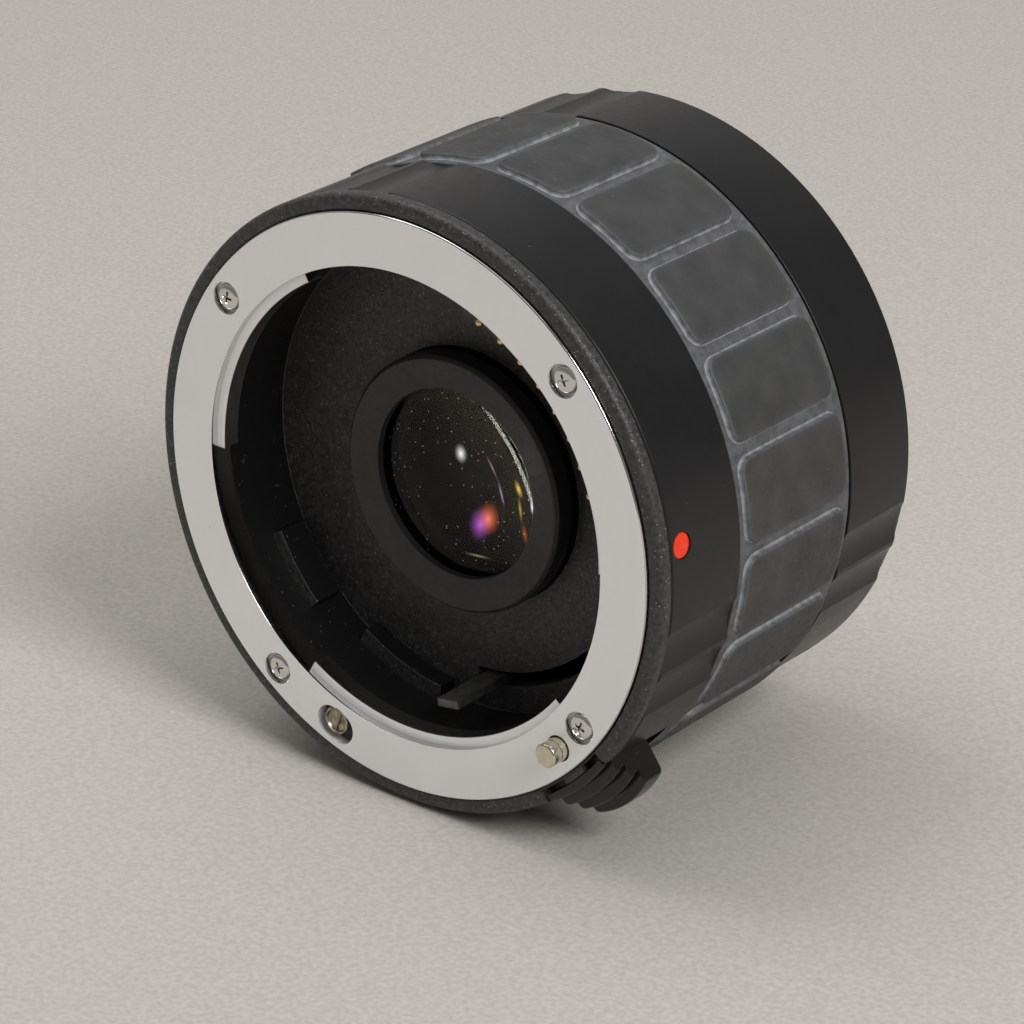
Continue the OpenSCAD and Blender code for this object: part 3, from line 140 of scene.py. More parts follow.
def relief(finish, height, depth, strength=1.0):
    """Small relief of a surface, depth in millimetres."""
    bump = step(finish, "ShaderNodeBump",
                {"Height": height, "Distance": depth / 1000, "Strength": strength})
    to_surface(finish, "Normal", bump.outputs["Normal"])


def two_tone(finish, size, detail, first, second, low=0.3, high=0.7):
    """Colour that drifts between two tones in clouds of a size in millimetres."""
    to_surface(finish, "Base Color", between(
        finish, levels(finish, grain(finish, size, detail), low, high), first, second))


paper = start_finish("table_paper", (0.55, 0.53, 0.5), 0.9, Specular_IOR_Level=0.1)
two_tone(paper, 0.6, 6, (0.48, 0.453, 0.42), (0.59, 0.558, 0.52))
table_height = cad_low.z
table_mesh = bpy.data.meshes.new("table")
table_mesh.from_pydata(
    [(-4, -4, table_height), (4, -4, table_height), (4, 4, table_height), (-4, 4, table_height)],
    [], [(0, 1, 2, 3)])
table = bpy.data.objects.new("table", table_mesh)
bpy.context.scene.collection.objects.link(table)
table_mesh.materials.append(paper)

# Studio light: two soft boxes on opposite sides, a broad one overhead and a pale backdrop behind.
# The left box gives the shadow to the front right, the right box the one at the left.
room = bpy.data.worlds.new("room")
bpy.context.scene.world = room
room.use_nodes = True
backdrop = room.node_tree.nodes["Background"]
level_right = Vector((0.7764, 0.6302, 0))
level_away = Vector((-0.6302, 0.7764, 0))
sight = step(room, "ShaderNodeTexCoord", {}).outputs["Generated"]
behind = step(room, "ShaderNodeVectorMath", {0: sight, 1: level_away}, operation="DOT_PRODUCT").outputs["Value"]
room.node_tree.links.new(levels(room, behind, 0.2, 0.85, 0.19, 0.5), backdrop.inputs["Strength"])
backdrop.inputs["Color"].default_value = (1.0, 0.975, 0.945, 1)


def soft_box(name, right, away, up, width, height, power):
    lamp = bpy.data.lights.new(name, "AREA")
    lamp.shape, lamp.size, lamp.size_y, lamp.energy = "RECTANGLE", width, height, power
    box = bpy.data.objects.new(name, lamp)
    box.location = level_right * right + level_away * away + Vector((0, 0, up))
    box.rotation_euler = (Vector((0, 0.02, 0)) - box.location).to_track_quat("-Z", "Y").to_euler()
    bpy.context.scene.collection.objects.link(box)


soft_box("left_soft_box", -0.46, 0.28, 1.02, 0.6, 0.6, 3.2)
soft_box("right_soft_box", 0.58, -0.75, 0.8, 0.5, 0.5, 9.9)
soft_box("top_soft_box", 0.0, 0.0, 1.3, 1.1, 1.1, 3.6)


# Front housing: one black moulding with the textured rim, the chamber behind the throat and its
# floor. It is glass-filled plastic with a spark-eroded grain, and carries all the other pieces.
def eased(profile, steps=4):
    """Outline whose corners are rounded by the third number of each point, in millimetres."""
    points = []
    for i, corner in enumerate(profile):
        here = np.array(corner[:2], float)
        if len(corner) < 3:
            points.append(here)
            continue
        before = np.array(profile[i - 1][:2], float) - here
        after = np.array(profile[(i + 1) % len(profile)][:2], float) - here
        start = here + before / np.linalg.norm(before) * corner[2]
        end = here + after / np.linalg.norm(after) * corner[2]
        for t in np.linspace(0, 1, steps + 1):
            points.append((1 - t) ** 2 * start + 2 * t * (1 - t) * here + t * t * end)
    return points


def as_piece(name, points, faces, place=None):
    """Object from points in millimetres, with doubled points joined and faces turned outwards."""
    mesh = bpy.data.meshes.new(name)
    mesh.from_pydata([tuple(np.array(p, float) / 1000) for p in points], [], faces)
    if place is not None:
        mesh.transform(place)
    shape = bmesh.new()
    shape.from_mesh(mesh)
    bmesh.ops.remove_doubles(shape, verts=shape.verts, dist=1e-7)
    bmesh.ops.dissolve_degenerate(shape, edges=shape.edges, dist=1e-8)
    bmesh.ops.recalc_face_normals(shape, faces=shape.faces)
    shape.to_mesh(mesh)
    shape.free()
    piece = bpy.data.objects.new(name, mesh)
    bpy.context.scene.collection.objects.link(piece)
    return piece


def turned(name, profile, steps=256, place=None, angles=None, shape=None):
    """Piece turned about the optical axis, or about the axis that place sets, from radius and depth."""
    loop = eased(profile)
    turn = np.linspace(0, 2 * math.pi, steps, endpoint=False) if angles is None else np.radians(angles)
    points, faces, count = [], [], len(loop)
    for angle in turn:
        for radius, depth in loop:
            r = shape(radius, angle) if shape else radius
            points.append((r * math.cos(angle), depth, r * math.sin(angle)))
    for j in range(len(turn)):
        k = (j + 1) % len(turn)
        for i in range(count):
            n = (i + 1) % count
            if loop[i][0] > 1e-9 or loop[n][0] > 1e-9:
                faces.append((j * count + i, j * count + n, k * count + n, k * count + i))
    return as_piece(name, points, faces, place)


def arc_block(name, start, end, inner, outer, front, back, ease=0.0):
    """Block between two angles, two radii and two depths, with eased edges."""
    if ease:
        loop = eased([(inner, front, ease), (outer, front, ease), (outer, back, ease), (inner, back, ease)], 3)
    else:
        loop = eased([(inner, front), (outer, front), (outer, back), (inner, back)])
    trim = math.degrees(ease / outer)
    cuts = max(4, int((end - start) * 1.5))
    stations = [(angle, 0) for angle in np.linspace(start + trim, end - trim, cuts)]
    if ease:
        side = trim * 0.3
        stations = ([(start, ease), (start + side, 0.3 * ease)] + stations
                    + [(end - side, 0.3 * ease), (end, ease)])
    points, faces, count = [], [], len(loop)
    for angle, inset in stations:
        a = math.radians(angle)
        for radius, depth in loop:
            r = min(max(radius, inner + inset), outer - inset)
            points.append((r * math.cos(a), min(max(depth, front + inset), back - inset), r * math.sin(a)))
    for j in range(len(stations) - 1):
        for i in range(count):
            n = (i + 1) % count
            faces.append((j * count + i, j * count + n, (j + 1) * count + n, (j + 1) * count + i))
    faces.append(tuple(range(count)))
    faces.append(tuple(range((len(stations) - 1) * count, len(stations) * count)))
    return as_piece(name, points, faces)


def spot(angle, radius):
    """Place at an angle and a radius, with X outwards and Y along the optical axis. Millimetres."""
    a = math.radians(angle)
    return Matrix((
        (math.cos(a), 0, -math.sin(a), radius * math.cos(a) / 1000),
        (0, 1, 0, 0),
        (math.sin(a), 0, math.cos(a), radius * math.sin(a) / 1000),
        (0, 0, 0, 1)))


def spoke(angle, depth):
    """Place whose turning axis points outwards from the optical axis at an angle and a depth."""
    a = math.radians(angle)
    return Matrix((
        (0, math.cos(a), math.sin(a), 0),
        (1, 0, 0, depth / 1000),
        (0, math.sin(a), -math.cos(a), 0),
        (0, 0, 0, 1)))


def carve(piece, *tools, operation="DIFFERENCE"):
    """Cuts the tools out of a piece, or joins them to it, and puts the tools away."""
    for tool in tools:
        cut = piece.modifiers.new("carve", "BOOLEAN")
        cut.object, cut.operation, cut.solver = tool, operation, "EXACT"
    bpy.context.view_layer.update()
    plain = piece.data
    piece.data = bpy.data.meshes.new_from_object(
        piece.evaluated_get(bpy.context.evaluated_depsgraph_get()))
    piece.modifiers.clear()
    bpy.data.meshes.remove(plain)
    for tool in tools:
        bpy.data.objects.remove(tool)
    return piece


def dress(piece, finish, body, slot, *nodes, sharp=32):
    """Gives a piece its finish and its smooth shading, ties it to its body and hides its CAD nodes."""
    piece.data.materials.clear()
    piece.data.materials.append(finish)
    piece.data.shade_smooth()
    piece.data.set_sharp_from_angle(angle=math.radians(sharp))
    even = piece.modifiers.new("even_shading", "WEIGHTED_NORMAL")
    even.keep_sharp = True
    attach(piece, body)
    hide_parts(*nodes)
    return piece


def specks(finish, spacing, size, share):
    """Scattered grains of size in shares of their spacing, of which only a share shows."""
    place = step(finish, "ShaderNodeTexCoord", {}).outputs["Object"]
    cells = step(finish, "ShaderNodeTexVoronoi", {"Vector": place, "Scale": 1000 / spacing})
    near = levels(finish, cells.outputs["Distance"], size, size * 0.5)
    pick = step(finish, "ShaderNodeSeparateColor", {"Color": cells.outputs["Color"]}).outputs["Red"]
    chosen = levels(finish, pick, 1 - share, 1 - share * 0.8)
    return step(finish, "ShaderNodeMath", {0: near, 1: chosen}, operation="MULTIPLY").outputs[0]


def uneven_gloss(finish, size, detail, low, high):
    """Roughness that drifts between two values in clouds of a size in millimetres."""
    to_surface(finish, "Roughness", levels(finish, grain(finish, size, detail), 0.3, 0.7, low, high))


moulded_black = start_finish("moulded_black", (0.012, 0.012, 0.012), 0.45, Specular_IOR_Level=0.6)
moulding_cloud = between(moulded_black, levels(moulded_black, grain(moulded_black, 0.5, 4), 0.35, 0.7),
                         (0.016, 0.016, 0.016), (0.052, 0.0515, 0.05))
to_surface(moulded_black, "Base Color", between(
    moulded_black, specks(moulded_black, 0.3, 0.3, 0.16), moulding_cloud, (0.26, 0.255, 0.24)))
uneven_gloss(moulded_black, 0.3, 2, 0.34, 0.58)
relief(moulded_black, grain(moulded_black, 0.24, 3), 0.1, 0.9)

pin_angle, pin_circle = 315.7, 28
coupler_angle, coupler_circle = 251.2, 27.4
front_housing = turned("front_housing_moulding", [
    (13.65, 11.2), (25.4, 11.2, 0.1), (25.4, 3.3), (25.95, 3.3), (25.95, 1.2), (30.51, 1.2),
    (30.51, 0.45), (30.66, 0.3, 0.08), (31.75, 0.3, 0.25), (32.15, 0.7, 0.25), (32.15, 1.7, 0.05),
    (30.1, 1.7), (30.1, 14.5), (24.0, 14.5), (24.0, 13.2), (13.65, 13.2)], 360)
carve(front_housing,
      arc_block("pad", 206, 226, 24.0, 26.0, 6.3, 10.0, 0.15),
      arc_block("ledge", 238.2, 264.2, 23.6, 26.0, 9.0, 11.8, 0.12), operation="UNION")
rim_notch = arc_block("rim_notch", 304.8, 322.4, 30.735, 32.9, -0.6, 2.3)
carve(rim_notch, arc_block("stop_block", 311.6, 316.8, 29.9, 31.35, 0.45, 3.0, 0.06))
carve(front_housing, rim_notch,
      arc_block("aperture_slot", 272.3, 314.7, 21.0, 22.5, 10.4, 13.8),
      arc_block("cable_slot", 36.4, 50.4, 22.3, 23.2, 10.4, 13.8),
      arc_block("release_pocket", 311.0, 320.4, 25.9, 32.15, 3.9, 13.35),
      turned("pin_bore", [(0, 0.6), (1.3, 0.6), (1.3, 4.5), (0, 4.5)], 48, spot(pin_angle, pin_circle)),
      turned("tail_bore", [(0, 12.7), (0.8, 12.7), (0.8, 15.1), (0, 15.1)], 32, spot(pin_angle, pin_circle)),
      turned("coupler_bore", [(0, 0.6), (1.55, 0.6), (1.55, 15.1), (0, 15.1)], 48,
             spot(coupler_angle, coupler_circle)))
dress(front_housing, moulded_black, "barrel", "moulded_black", "front_housing")
# Painted shade: the chamber's side walls take a darker copy of the moulding's finish.
chamber_wall_painted_shade = start_finish("chamber_wall_painted_shade", (0.006, 0.006, 0.006), 0.42, Specular_IOR_Level=0.4)
to_surface(chamber_wall_painted_shade, "Base Color", between(
    chamber_wall_painted_shade, specks(chamber_wall_painted_shade, 0.4, 0.22, 0.1), (0.006, 0.006, 0.006), (0.2, 0.2, 0.19)))
relief(chamber_wall_painted_shade, grain(chamber_wall_painted_shade, 0.3, 3), 0.05, 0.6)
front_housing.data.materials.append(chamber_wall_painted_shade)
# Walls of the throat and chamber get the darker, painted-shade finish.
for face in front_housing.data.polygons:
    from_axis = math.hypot(face.center.x, face.center.z)
    face.material_index = int(0.0235 < from_axis < 0.0256 and abs(face.normal.y) < 0.5)

# Front shell: a turned aluminium sleeve, satin black anodised, held by screws under the rubber.
# Pairs of round flutes run along it for the fingers, and a track in it guides the release lever.
anodised_black = start_finish("anodised_black", (0.008, 0.008, 0.0085), 0.34, Specular_IOR_Level=0.38)
uneven_gloss(anodised_black, 1.1, 6, 0.3, 0.38)
to_surface(anodised_black, "Base Color", between(
    anodised_black, specks(anodised_black, 1.3, 0.07, 0.12),
    between(anodised_black, levels(anodised_black, grain(anodised_black, 9, 4), 0.35, 0.65),
            (0.0065, 0.0065, 0.007), (0.0095, 0.0095, 0.01)), (0.14, 0.14, 0.13)))
relief(anodised_black, grain(anodised_black, 0.12, 2), 0.01, 0.35)

flute_centres = [103.2 + 120 * pair + side for pair in range(3) for side in (-4.8, 4.8)]
flute_angles = sorted({round(a, 2) for a in np.arange(0, 360, 1.0)}
                      | {round((centre + edge) % 360, 2) for centre in flute_centres
                         for edge in (-4.35, -4.24, -4.0, -3.0, -2.0, -1.0, 0, 1.0, 2.0, 3.0, 4.0, 4.24, 4.35)})


def fluted(radius, angle):
    """Radius of the barrel at an angle, cut by the flutes' round cutter."""
    if radius < 31.0:
        return radius
    for centre in flute_centres:
        off = (math.degrees(angle) - centre + 180) % 360 - 180
        if abs(off) < 4.3:
            across = 39.7 * math.sin(math.radians(off))
            radius = min(radius, 39.7 * math.cos(math.radians(off)) - math.sqrt(64 - across * across))
    return radius


front_shell = turned("front_sleeve", [
    (30.2, 1.7), (31.9, 1.7), (31.9, 1.9), (32.0, 1.9), (32.15, 2.05, 0.06), (32.15, 12.7, 0.1), (31.1, 12.7),
    (31.1, 31.0), (30.2, 31.0)], angles=flute_angles, shape=fluted)
carve(front_shell,
      arc_block("lever_track", 304.8, 322.4, 31.35, 32.9, 1.1, 10.4),
      arc_block("leg_slot", 311.0, 320.4, 29.6, 32.9, 3.9, 10.3),
      turned("dot_recess", [(0, 31.8), (1.3, 31.8), (1.3, 32.0), (1.42, 32.3), (1.42, 33), (0, 33)], 64,
             spoke(7.7, 3.7)))
dress(front_shell, anodised_black, "barrel", "anodised_black", "front_shell")

# Rear ring: the same turned and anodised aluminium, pressed on behind the rubber.
# The flutes carry on across it, and its rear edge is bevelled.
rear_ring = turned("rear_fluted_ring", [
    (30.15, 31.25), (32.15, 31.25, 0.14), (32.15, 41.4, 0.12), (31.65, 41.9, 0.12), (30.15, 41.9)],
    angles=flute_angles, shape=fluted)
carve(rear_ring, turned("rear_dot_recess",
                        [(0, 31.8), (1.3, 31.8), (1.3, 32.0), (1.42, 32.3), (1.42, 33), (0, 33)], 64,
                        spoke(-46.3, 37.9)))
dress(rear_ring, anodised_black, "barrel", "anodised_black", "rear_ring")

# Index dots: drops of red enamel in round recesses, which show how to turn the mounts together.
# The enamel sinks a little at its rim as it dries.
index_red = start_finish("index_red", (0.82, 0.045, 0.014), 0.32, Specular_IOR_Level=0.3)
two_tone(index_red, 0.5, 3, (0.9, 0.04, 0.01), (1.0, 0.06, 0.018))
for dot_name, dot_angle, dot_depth, dot_node in (
        ("front_dot", 7.7, 3.7, "front_index_dot"), ("rear_dot", -46.3, 37.9, "rear_index_dot")):
    dot = turned(dot_name, [(0, 31.8), (1.25, 31.8), (1.25, 31.97), (1.1, 32.04), (0.6, 32.08), (0, 32.09)],
                 64, spoke(dot_angle, dot_depth))
    dress(dot, index_red, "barrel", "index_red", dot_node)

# Grip: a moulded rubber ring stretched over the shell, with twenty raised panels.
# The rubber has gone grey, and pale dust sits in the channels and along the panels' edges.
grip_rubber = start_finish("grip_rubber", (0.045, 0.046, 0.046), 0.62, Specular_IOR_Level=0.35)
dust = step(grip_rubber, "ShaderNodeAttribute", {}, attribute_name="dust").outputs["Fac"]
patchy = levels(grip_rubber, grain(grip_rubber, 0.9, 6), 0.34, 0.66, 0.5, 1.3)
settled = step(grip_rubber, "ShaderNodeMath", {0: dust, 1: patchy},
               operation="MULTIPLY", use_clamp=True).outputs[0]
rubber_tone = between(grip_rubber, levels(grip_rubber, grain(grip_rubber, 3.5, 5), 0.3, 0.7),
                      (0.042, 0.0425, 0.0425), (0.062, 0.0625, 0.062))
rubber_tone = between(grip_rubber, specks(grip_rubber, 1.2, 0.09, 0.14), rubber_tone, (0.2, 0.2, 0.19))
to_surface(grip_rubber, "Base Color", between(grip_rubber, settled, rubber_tone, (0.3, 0.31, 0.33)))
uneven_gloss(grip_rubber, 0.6, 3, 0.52, 0.7)
relief(grip_rubber, grain(grip_rubber, 0.16, 3), 0.03, 0.5)

channel_dust, edge_dust = 0.24, 0.72
grip_points, grip_faces, grip_dust = [], [], []
grip_turns = 240
for j in range(grip_turns):
    a = 2 * math.pi * j / grip_turns
    for radius, depth in eased([(31.15, 12.72), (31.95, 12.72, 0.12), (31.95, 31.2, 0.12), (31.15, 31.2)]):
        grip_points.append((radius * math.cos(a), depth, radius * math.sin(a)))
        grip_dust.append(channel_dust)
ring_count = len(grip_points) // grip_turns
for j in range(grip_turns):
    k = (j + 1) % grip_turns
    for i in range(ring_count):
        n = (i + 1) % ring_count
        grip_faces.append((j * ring_count + i, j * ring_count + n, k * ring_count + n, k * ring_count + i))
panel_half_l, panel_half_w = 8.15, math.pi * 31.95 / 20 - 0.7


def panel_loop(inset, radius, middle):
    """Rounded outline of a panel, drawn in from its edge by inset, on the cylinder of a radius."""
    half_l, half_w = panel_half_l - inset, panel_half_w - inset
    corner = max(1.5 - inset, 0.02)
    outline = []
    for quarter, (sx, sy) in enumerate(((1, 1), (-1, 1), (-1, -1), (1, -1))):
        for t in np.linspace(0, math.pi / 2, 6):
            angle = quarter * math.pi / 2 + t
            outline.append((sx * (half_l - corner) + corner * math.cos(angle),
                            sy * (half_w - corner) + corner * math.sin(angle)))
    full = []
    for i, p in enumerate(outline):
        q = outline[(i + 1) % len(outline)]
        cuts = (10, 14)[(i // 6) % 2] if i % 6 == 5 else 1
        for c in range(cuts):
            full.append((p[0] + (q[0] - p[0]) * c / cuts, p[1] + (q[1] - p[1]) * c / cuts))
    return [(radius * math.cos(middle + y / 32.2), 21.87 + x, radius * math.sin(middle + y / 32.2))
            for x, y in full]


panel_steps = [(-0.24, 31.5, edge_dust), (-0.22, 31.94, edge_dust), (-0.1, 31.975, 1.0), (-0.01, 32.06, 0.9),
               (0.03, 32.36, 0.3), (0.08, 32.48, 0.25), (0.18, 32.54, 0.1), (0.35, 32.55, 0.03), (0.9, 32.55, 0.0),
               (1.6, 32.55, 0.0), (2.4, 32.55, 0.0), (3.2, 32.55, 0.0), (panel_half_w - 0.02, 32.55, 0.0)]
for panel in range(20):
    middle = math.radians((panel + 0.5) * 18)
    first = len(grip_points)
    for inset, radius, amount in panel_steps:
        loop = panel_loop(inset, radius, middle)
        grip_points.extend(loop)
        grip_dust.extend([amount] * len(loop))
    size = len(loop)
    for row in range(len(panel_steps) - 1):
        for i in range(size):
            n = (i + 1) % size
            grip_faces.append((first + row * size + i, first + row * size + n,
                               first + (row + 1) * size + n, first + (row + 1) * size + i))
    grip_faces.append(tuple(range(first, first + size)))
    last = first + (len(panel_steps) - 1) * size
    grip_faces.append(tuple(range(last, last + size)))
grip_mesh = bpy.data.meshes.new("rubber_grip")
grip_mesh.from_pydata([tuple(np.array(p) / 1000) for p in grip_points], [], grip_faces)
grip_mesh.attributes.new("dust", "FLOAT", "POINT").data.foreach_set("value", grip_dust)
grip_shape = bmesh.new()
grip_shape.from_mesh(grip_mesh)
bmesh.ops.recalc_face_normals(grip_shape, faces=grip_shape.faces)
grip_shape.to_mesh(grip_mesh)
grip_shape.free()
grip = bpy.data.objects.new("rubber_grip", grip_mesh)
bpy.context.scene.collection.objects.link(grip)
dress(grip, grip_rubber, "barrel", "grip_rubber", "grip_ring", sharp=40)

# Shell screws: small headless steel screws through the shell into both housings, under the rubber.
# The screws of the lens barrel and of the circuit board are of the same bright turned steel.
screw_steel = start_finish("screw_steel", (0.74, 0.74, 0.72), 0.1, 1.0)
uneven_gloss(screw_steel, 0.4, 3, 0.06, 0.16)
relief(screw_steel, grain(screw_steel, 0.25, 2), 0.008, 0.3)


def give_finish(finish, *names):
    """Gives CAD pieces that keep their own shape a finish."""
    for name in names:
        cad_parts[name].data.materials.clear()
        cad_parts[name].data.materials.append(finish)


give_finish(screw_steel, "shell_screws", "barrel_screws", "board_screws")

# Lens barrel: a turned aluminium tube, screwed to the chamber floor from behind, with spacer rings
# that keep the glass apart. Dull black ink covers its inside and the edges of the glass.
cell_black = start_finish("cell_black", (0.018, 0.018, 0.019), 0.5, Specular_IOR_Level=0.5)
two_tone(cell_black, 1.5, 4, (0.015, 0.015, 0.016), (0.023, 0.023, 0.024))
uneven_gloss(cell_black, 0.4, 3, 0.45, 0.6)
relief(cell_black, grain(cell_black, 0.15, 2), 0.012, 0.35)
edge_ink = start_finish("edge_ink", (0.004, 0.004, 0.004), 0.85, Specular_IOR_Level=0.1)
uneven_gloss(edge_ink, 0.3, 2, 0.75, 0.95)
give_finish(edge_ink, "lens_barrel", "spacer_1", "spacer_2", "spacer_3")

# Retaining rings: turned rings that screw over the ends of the lens barrel and hold the glass.
# The front one slopes inwards and has a fine bevel round the clear opening.
front_ring = turned("front_glass_ring", [
    (10.05, 8.5, 0.07), (13.2, 7.9, 0.1), (13.6, 8.3, 0.1), (13.6, 10.2), (11.05, 10.2), (11.05, 9.5),
    (10.05, 9.35)], 256)
dress(front_ring, cell_black, "barrel", "cell_black", "front_retaining_ring")
rear_cell_ring = turned("rear_glass_ring", [
    (10.05, 38.75), (10.9, 38.75), (10.9, 40.0), (13.6, 40.0), (13.6, 40.6, 0.1), (13.2, 41.0, 0.1),
    (10.65, 41.0, 0.1), (10.05, 40.4, 0.1)], 192)
dress(rear_cell_ring, cell_black, "barrel", "cell_black", "rear_retaining_ring")

# Glass: seven ground and polished elements with vacuum coatings and inked edges, in two cemented
# groups and three singles. Each coating has its own colour, and the second element's front carries
# painted reflections: soft coloured spots of emitted light, not lamps.
front_curve = [75, -60, -34, 24, -26, 48, -30]
rear_curve = [-60, 55, 24, -80, 90, -48, -70]
coating_tint = [(0.1, 0.12, 0.08), (0.25, 0.1, 0.3), (0.05, 0.06, 0.05), (0.5, 0.2, 0.4), (0.5, 0.3, 0.12),
                (0.2, 0.25, 0.1), (0.12, 0.12, 0.16)]
front_glass_face = 8.78
# Painted shade: the glass behind the first element is tinted dark, so the view into the lens goes dark.
glass_tint_with_painted_shade = [0.94, 0.45, 0.15, 0.15, 0.15, 0.15, 0.15]
# Painted reflections on the second element: centre x and z, width, height, lean and colour of each emitted spot.
painted_lens_reflections = [
    (-1.6, 1.8, 0.9, 1.2, 0, (1.1, 1.1, 1.15)), (1.95, -4.2, 1.6, 2.2, 12, (1.0, 0.2, 0.09)),
    (0.9, -5.1, 1.6, 2.4, 12, (0.48, 0.11, 0.66)), (2.3, 1.4, 0.2, 1.7, -33, (0.42, 0.28, 0.5)),
    (3.5, -1.1, 0.22, 1.8, -18, (0.55, 0.37, 0.62)), (5.7, 0.0, 0.5, 1.2, -25, (1.1, 0.7, 0.12)),
    (5.95, -2.1, 0.3, 1.6, -10, (0.7, 0.42, 0.09)), (7.5, -1.3, 0.32, 1.1, 0, (0.7, 0.7, 1.0)),
    (6.6, -4.5, 0.5, 1.5, -15, (0.4, 0.09, 0.04)), (0.75, -8.5, 0.2, 2.2, 85, (0.36, 0.3, 0.2))]


def sag(curve, radius):
    return curve - math.copysign(math.sqrt(curve * curve - radius * radius), curve)


def paint_reflection_spot(finish, others, x, z, wide, tall, lean, colour):
    """Painted reflection: a soft spot of emitted colour on the front of the second element. Millimetres."""
    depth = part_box("element_2")[0].y * 1000 - min(0, sag(-60, 11)) + sag(-60, math.hypot(x, z))
    place = step(finish, "ShaderNodeMapping", {
        "Vector": step(finish, "ShaderNodeTexCoord", {}).outputs["Object"],
        "Location": (x / 1000, depth / 1000, z / 1000), "Rotation": (0, math.radians(lean), 0),
        "Scale": (wide / 1000, 0.0005, tall / 1000)}, vector_type="TEXTURE").outputs["Vector"]
    off = step(finish, "ShaderNodeVectorMath", {0: place}, operation="LENGTH").outputs["Value"]
    fade = step(finish, "ShaderNodeMath", {0: levels(finish, off, 1.0, 0.0), 1: 2.0},
                operation="POWER").outputs[0]
    painted_spot = between(finish, fade, (0, 0, 0), colour)
    if others is None:
        return painted_spot
    both = step(finish, "ShaderNodeMix", {0: 1.0, 6: others, 7: painted_spot},
                data_type="RGBA", blend_type="ADD")
    return both.outputs[2]


for number in range(7):
    node = f"element_{number + 1}"
    low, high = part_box(node)
    front = low.y * 1000 - min(0, sag(front_curve[number], 11)) if number else front_glass_face
    back = high.y * 1000 - max(0, sag(rear_curve[number], 11))
    radii = np.linspace(0, 11, 25)
    profile = ([(r, front + sag(front_curve[number], r)) for r in radii]
               + [(r, back + sag(rear_curve[number], r)) for r in reversed(radii)])
    # This tint is painted shade that darkens the lens's inside.
    clear = glass_tint_with_painted_shade[number]
    coated_glass = start_finish(f"coated_glass_{number + 1}", (clear, 1.02 * clear, 0.88 * clear), 0.0, IOR=1.3,
                                Transmission_Weight=1.0, Specular_Tint=(*coating_tint[number], 1))
    if number == 0:
        motes = specks(coated_glass, 0.6, 0.11, 0.5)
        to_surface(coated_glass, "Roughness", levels(coated_glass, motes, 0.0, 1.0, 0.0, 0.6))
        to_surface(coated_glass, "Transmission Weight", levels(coated_glass, motes, 0.0, 1.0, 1.0, 0.4))
    # The second element's emission is painted reflection: coloured spots of light painted on its front face.
    if number == 1:
        painted_reflection_sum = None
        for reflection_spot in painted_lens_reflections:
            painted_reflection_sum = paint_reflection_spot(coated_glass, painted_reflection_sum, *reflection_spot)
        to_surface(coated_glass, "Emission Color", painted_reflection_sum)
        coated_glass.node_tree.nodes["Principled BSDF"].inputs["Emission Strength"].default_value = 1.0
    glass = turned(f"glass_{number + 1}", profile, 128)
    dress(glass, coated_glass, "barrel", "lens_glass", node, sharp=25)
    glass.data.materials.append(edge_ink)
    for face in glass.data.polygons:
        face.material_index = int(math.hypot(face.center.x, face.center.z) > 0.01098)

# Contact block and pins: a moulded black block on the chamber floor with eight gold-plated pins.
# Each pin slides in the block against a spring of its own.
contact_gold = start_finish("contact_gold", (0.83, 0.6, 0.2), 0.24, 1.0)
uneven_gloss(contact_gold, 0.3, 3, 0.18, 0.34)
two_tone(contact_gold, 0.5, 2, (0.76, 0.52, 0.16), (0.88, 0.66, 0.25))
give_finish(moulded_black, "front_contact_block")


def contact_spot(number):
    """Place of a contact, counted from the lowest of the eight."""
    return spot(43.4 + (number - 3.5) * 7.5, 22.3)


for number in range(8):
    contact = turned(f"contact_{number + 1}_gold", [
        (0, 2.8), (0.16, 2.83), (0.29, 2.92), (0.38, 3.05), (0.42, 3.22), (0.42, 5.9), (0.72, 5.9),
        (0.72, 7.0), (0, 7.0)], 32, contact_spot(number))
    dress(contact, contact_gold, f"contact_{number + 1}", "contact_gold", f"contact_pin_{number + 1}")

# Electronics: a curved circuit board with one processor, screwed to posts of the rear housing,
# and two amber film cables to the contact blocks.
board_green = start_finish("board_green", (0.02, 0.16, 0.07), 0.35)
two_tone(board_green, 0.8, 1, (0.015, 0.13, 0.055), (0.03, 0.2, 0.09), 0.48, 0.52)
chip_black = start_finish("chip_black", (0.02, 0.02, 0.02), 0.55)
uneven_gloss(chip_black, 0.2, 2, 0.45, 0.65)
flex_amber = start_finish("flex_amber", (0.5, 0.22, 0.03), 0.3)
two_tone(flex_amber, 0.7, 1, (0.45, 0.19, 0.025), (0.58, 0.3, 0.06), 0.45, 0.55)
give_finish(board_green, "circuit_board")
give_finish(chip_black, "processor_chip")
give_finish(flex_amber, "front_flex_cable", "rear_flex_cable")

# Rear housing: a second black moulding that closes the barrel and carries the camera mount.
# It has the same grain as the front one and is held by the shell screws.
give_finish(moulded_black, "rear_housing")

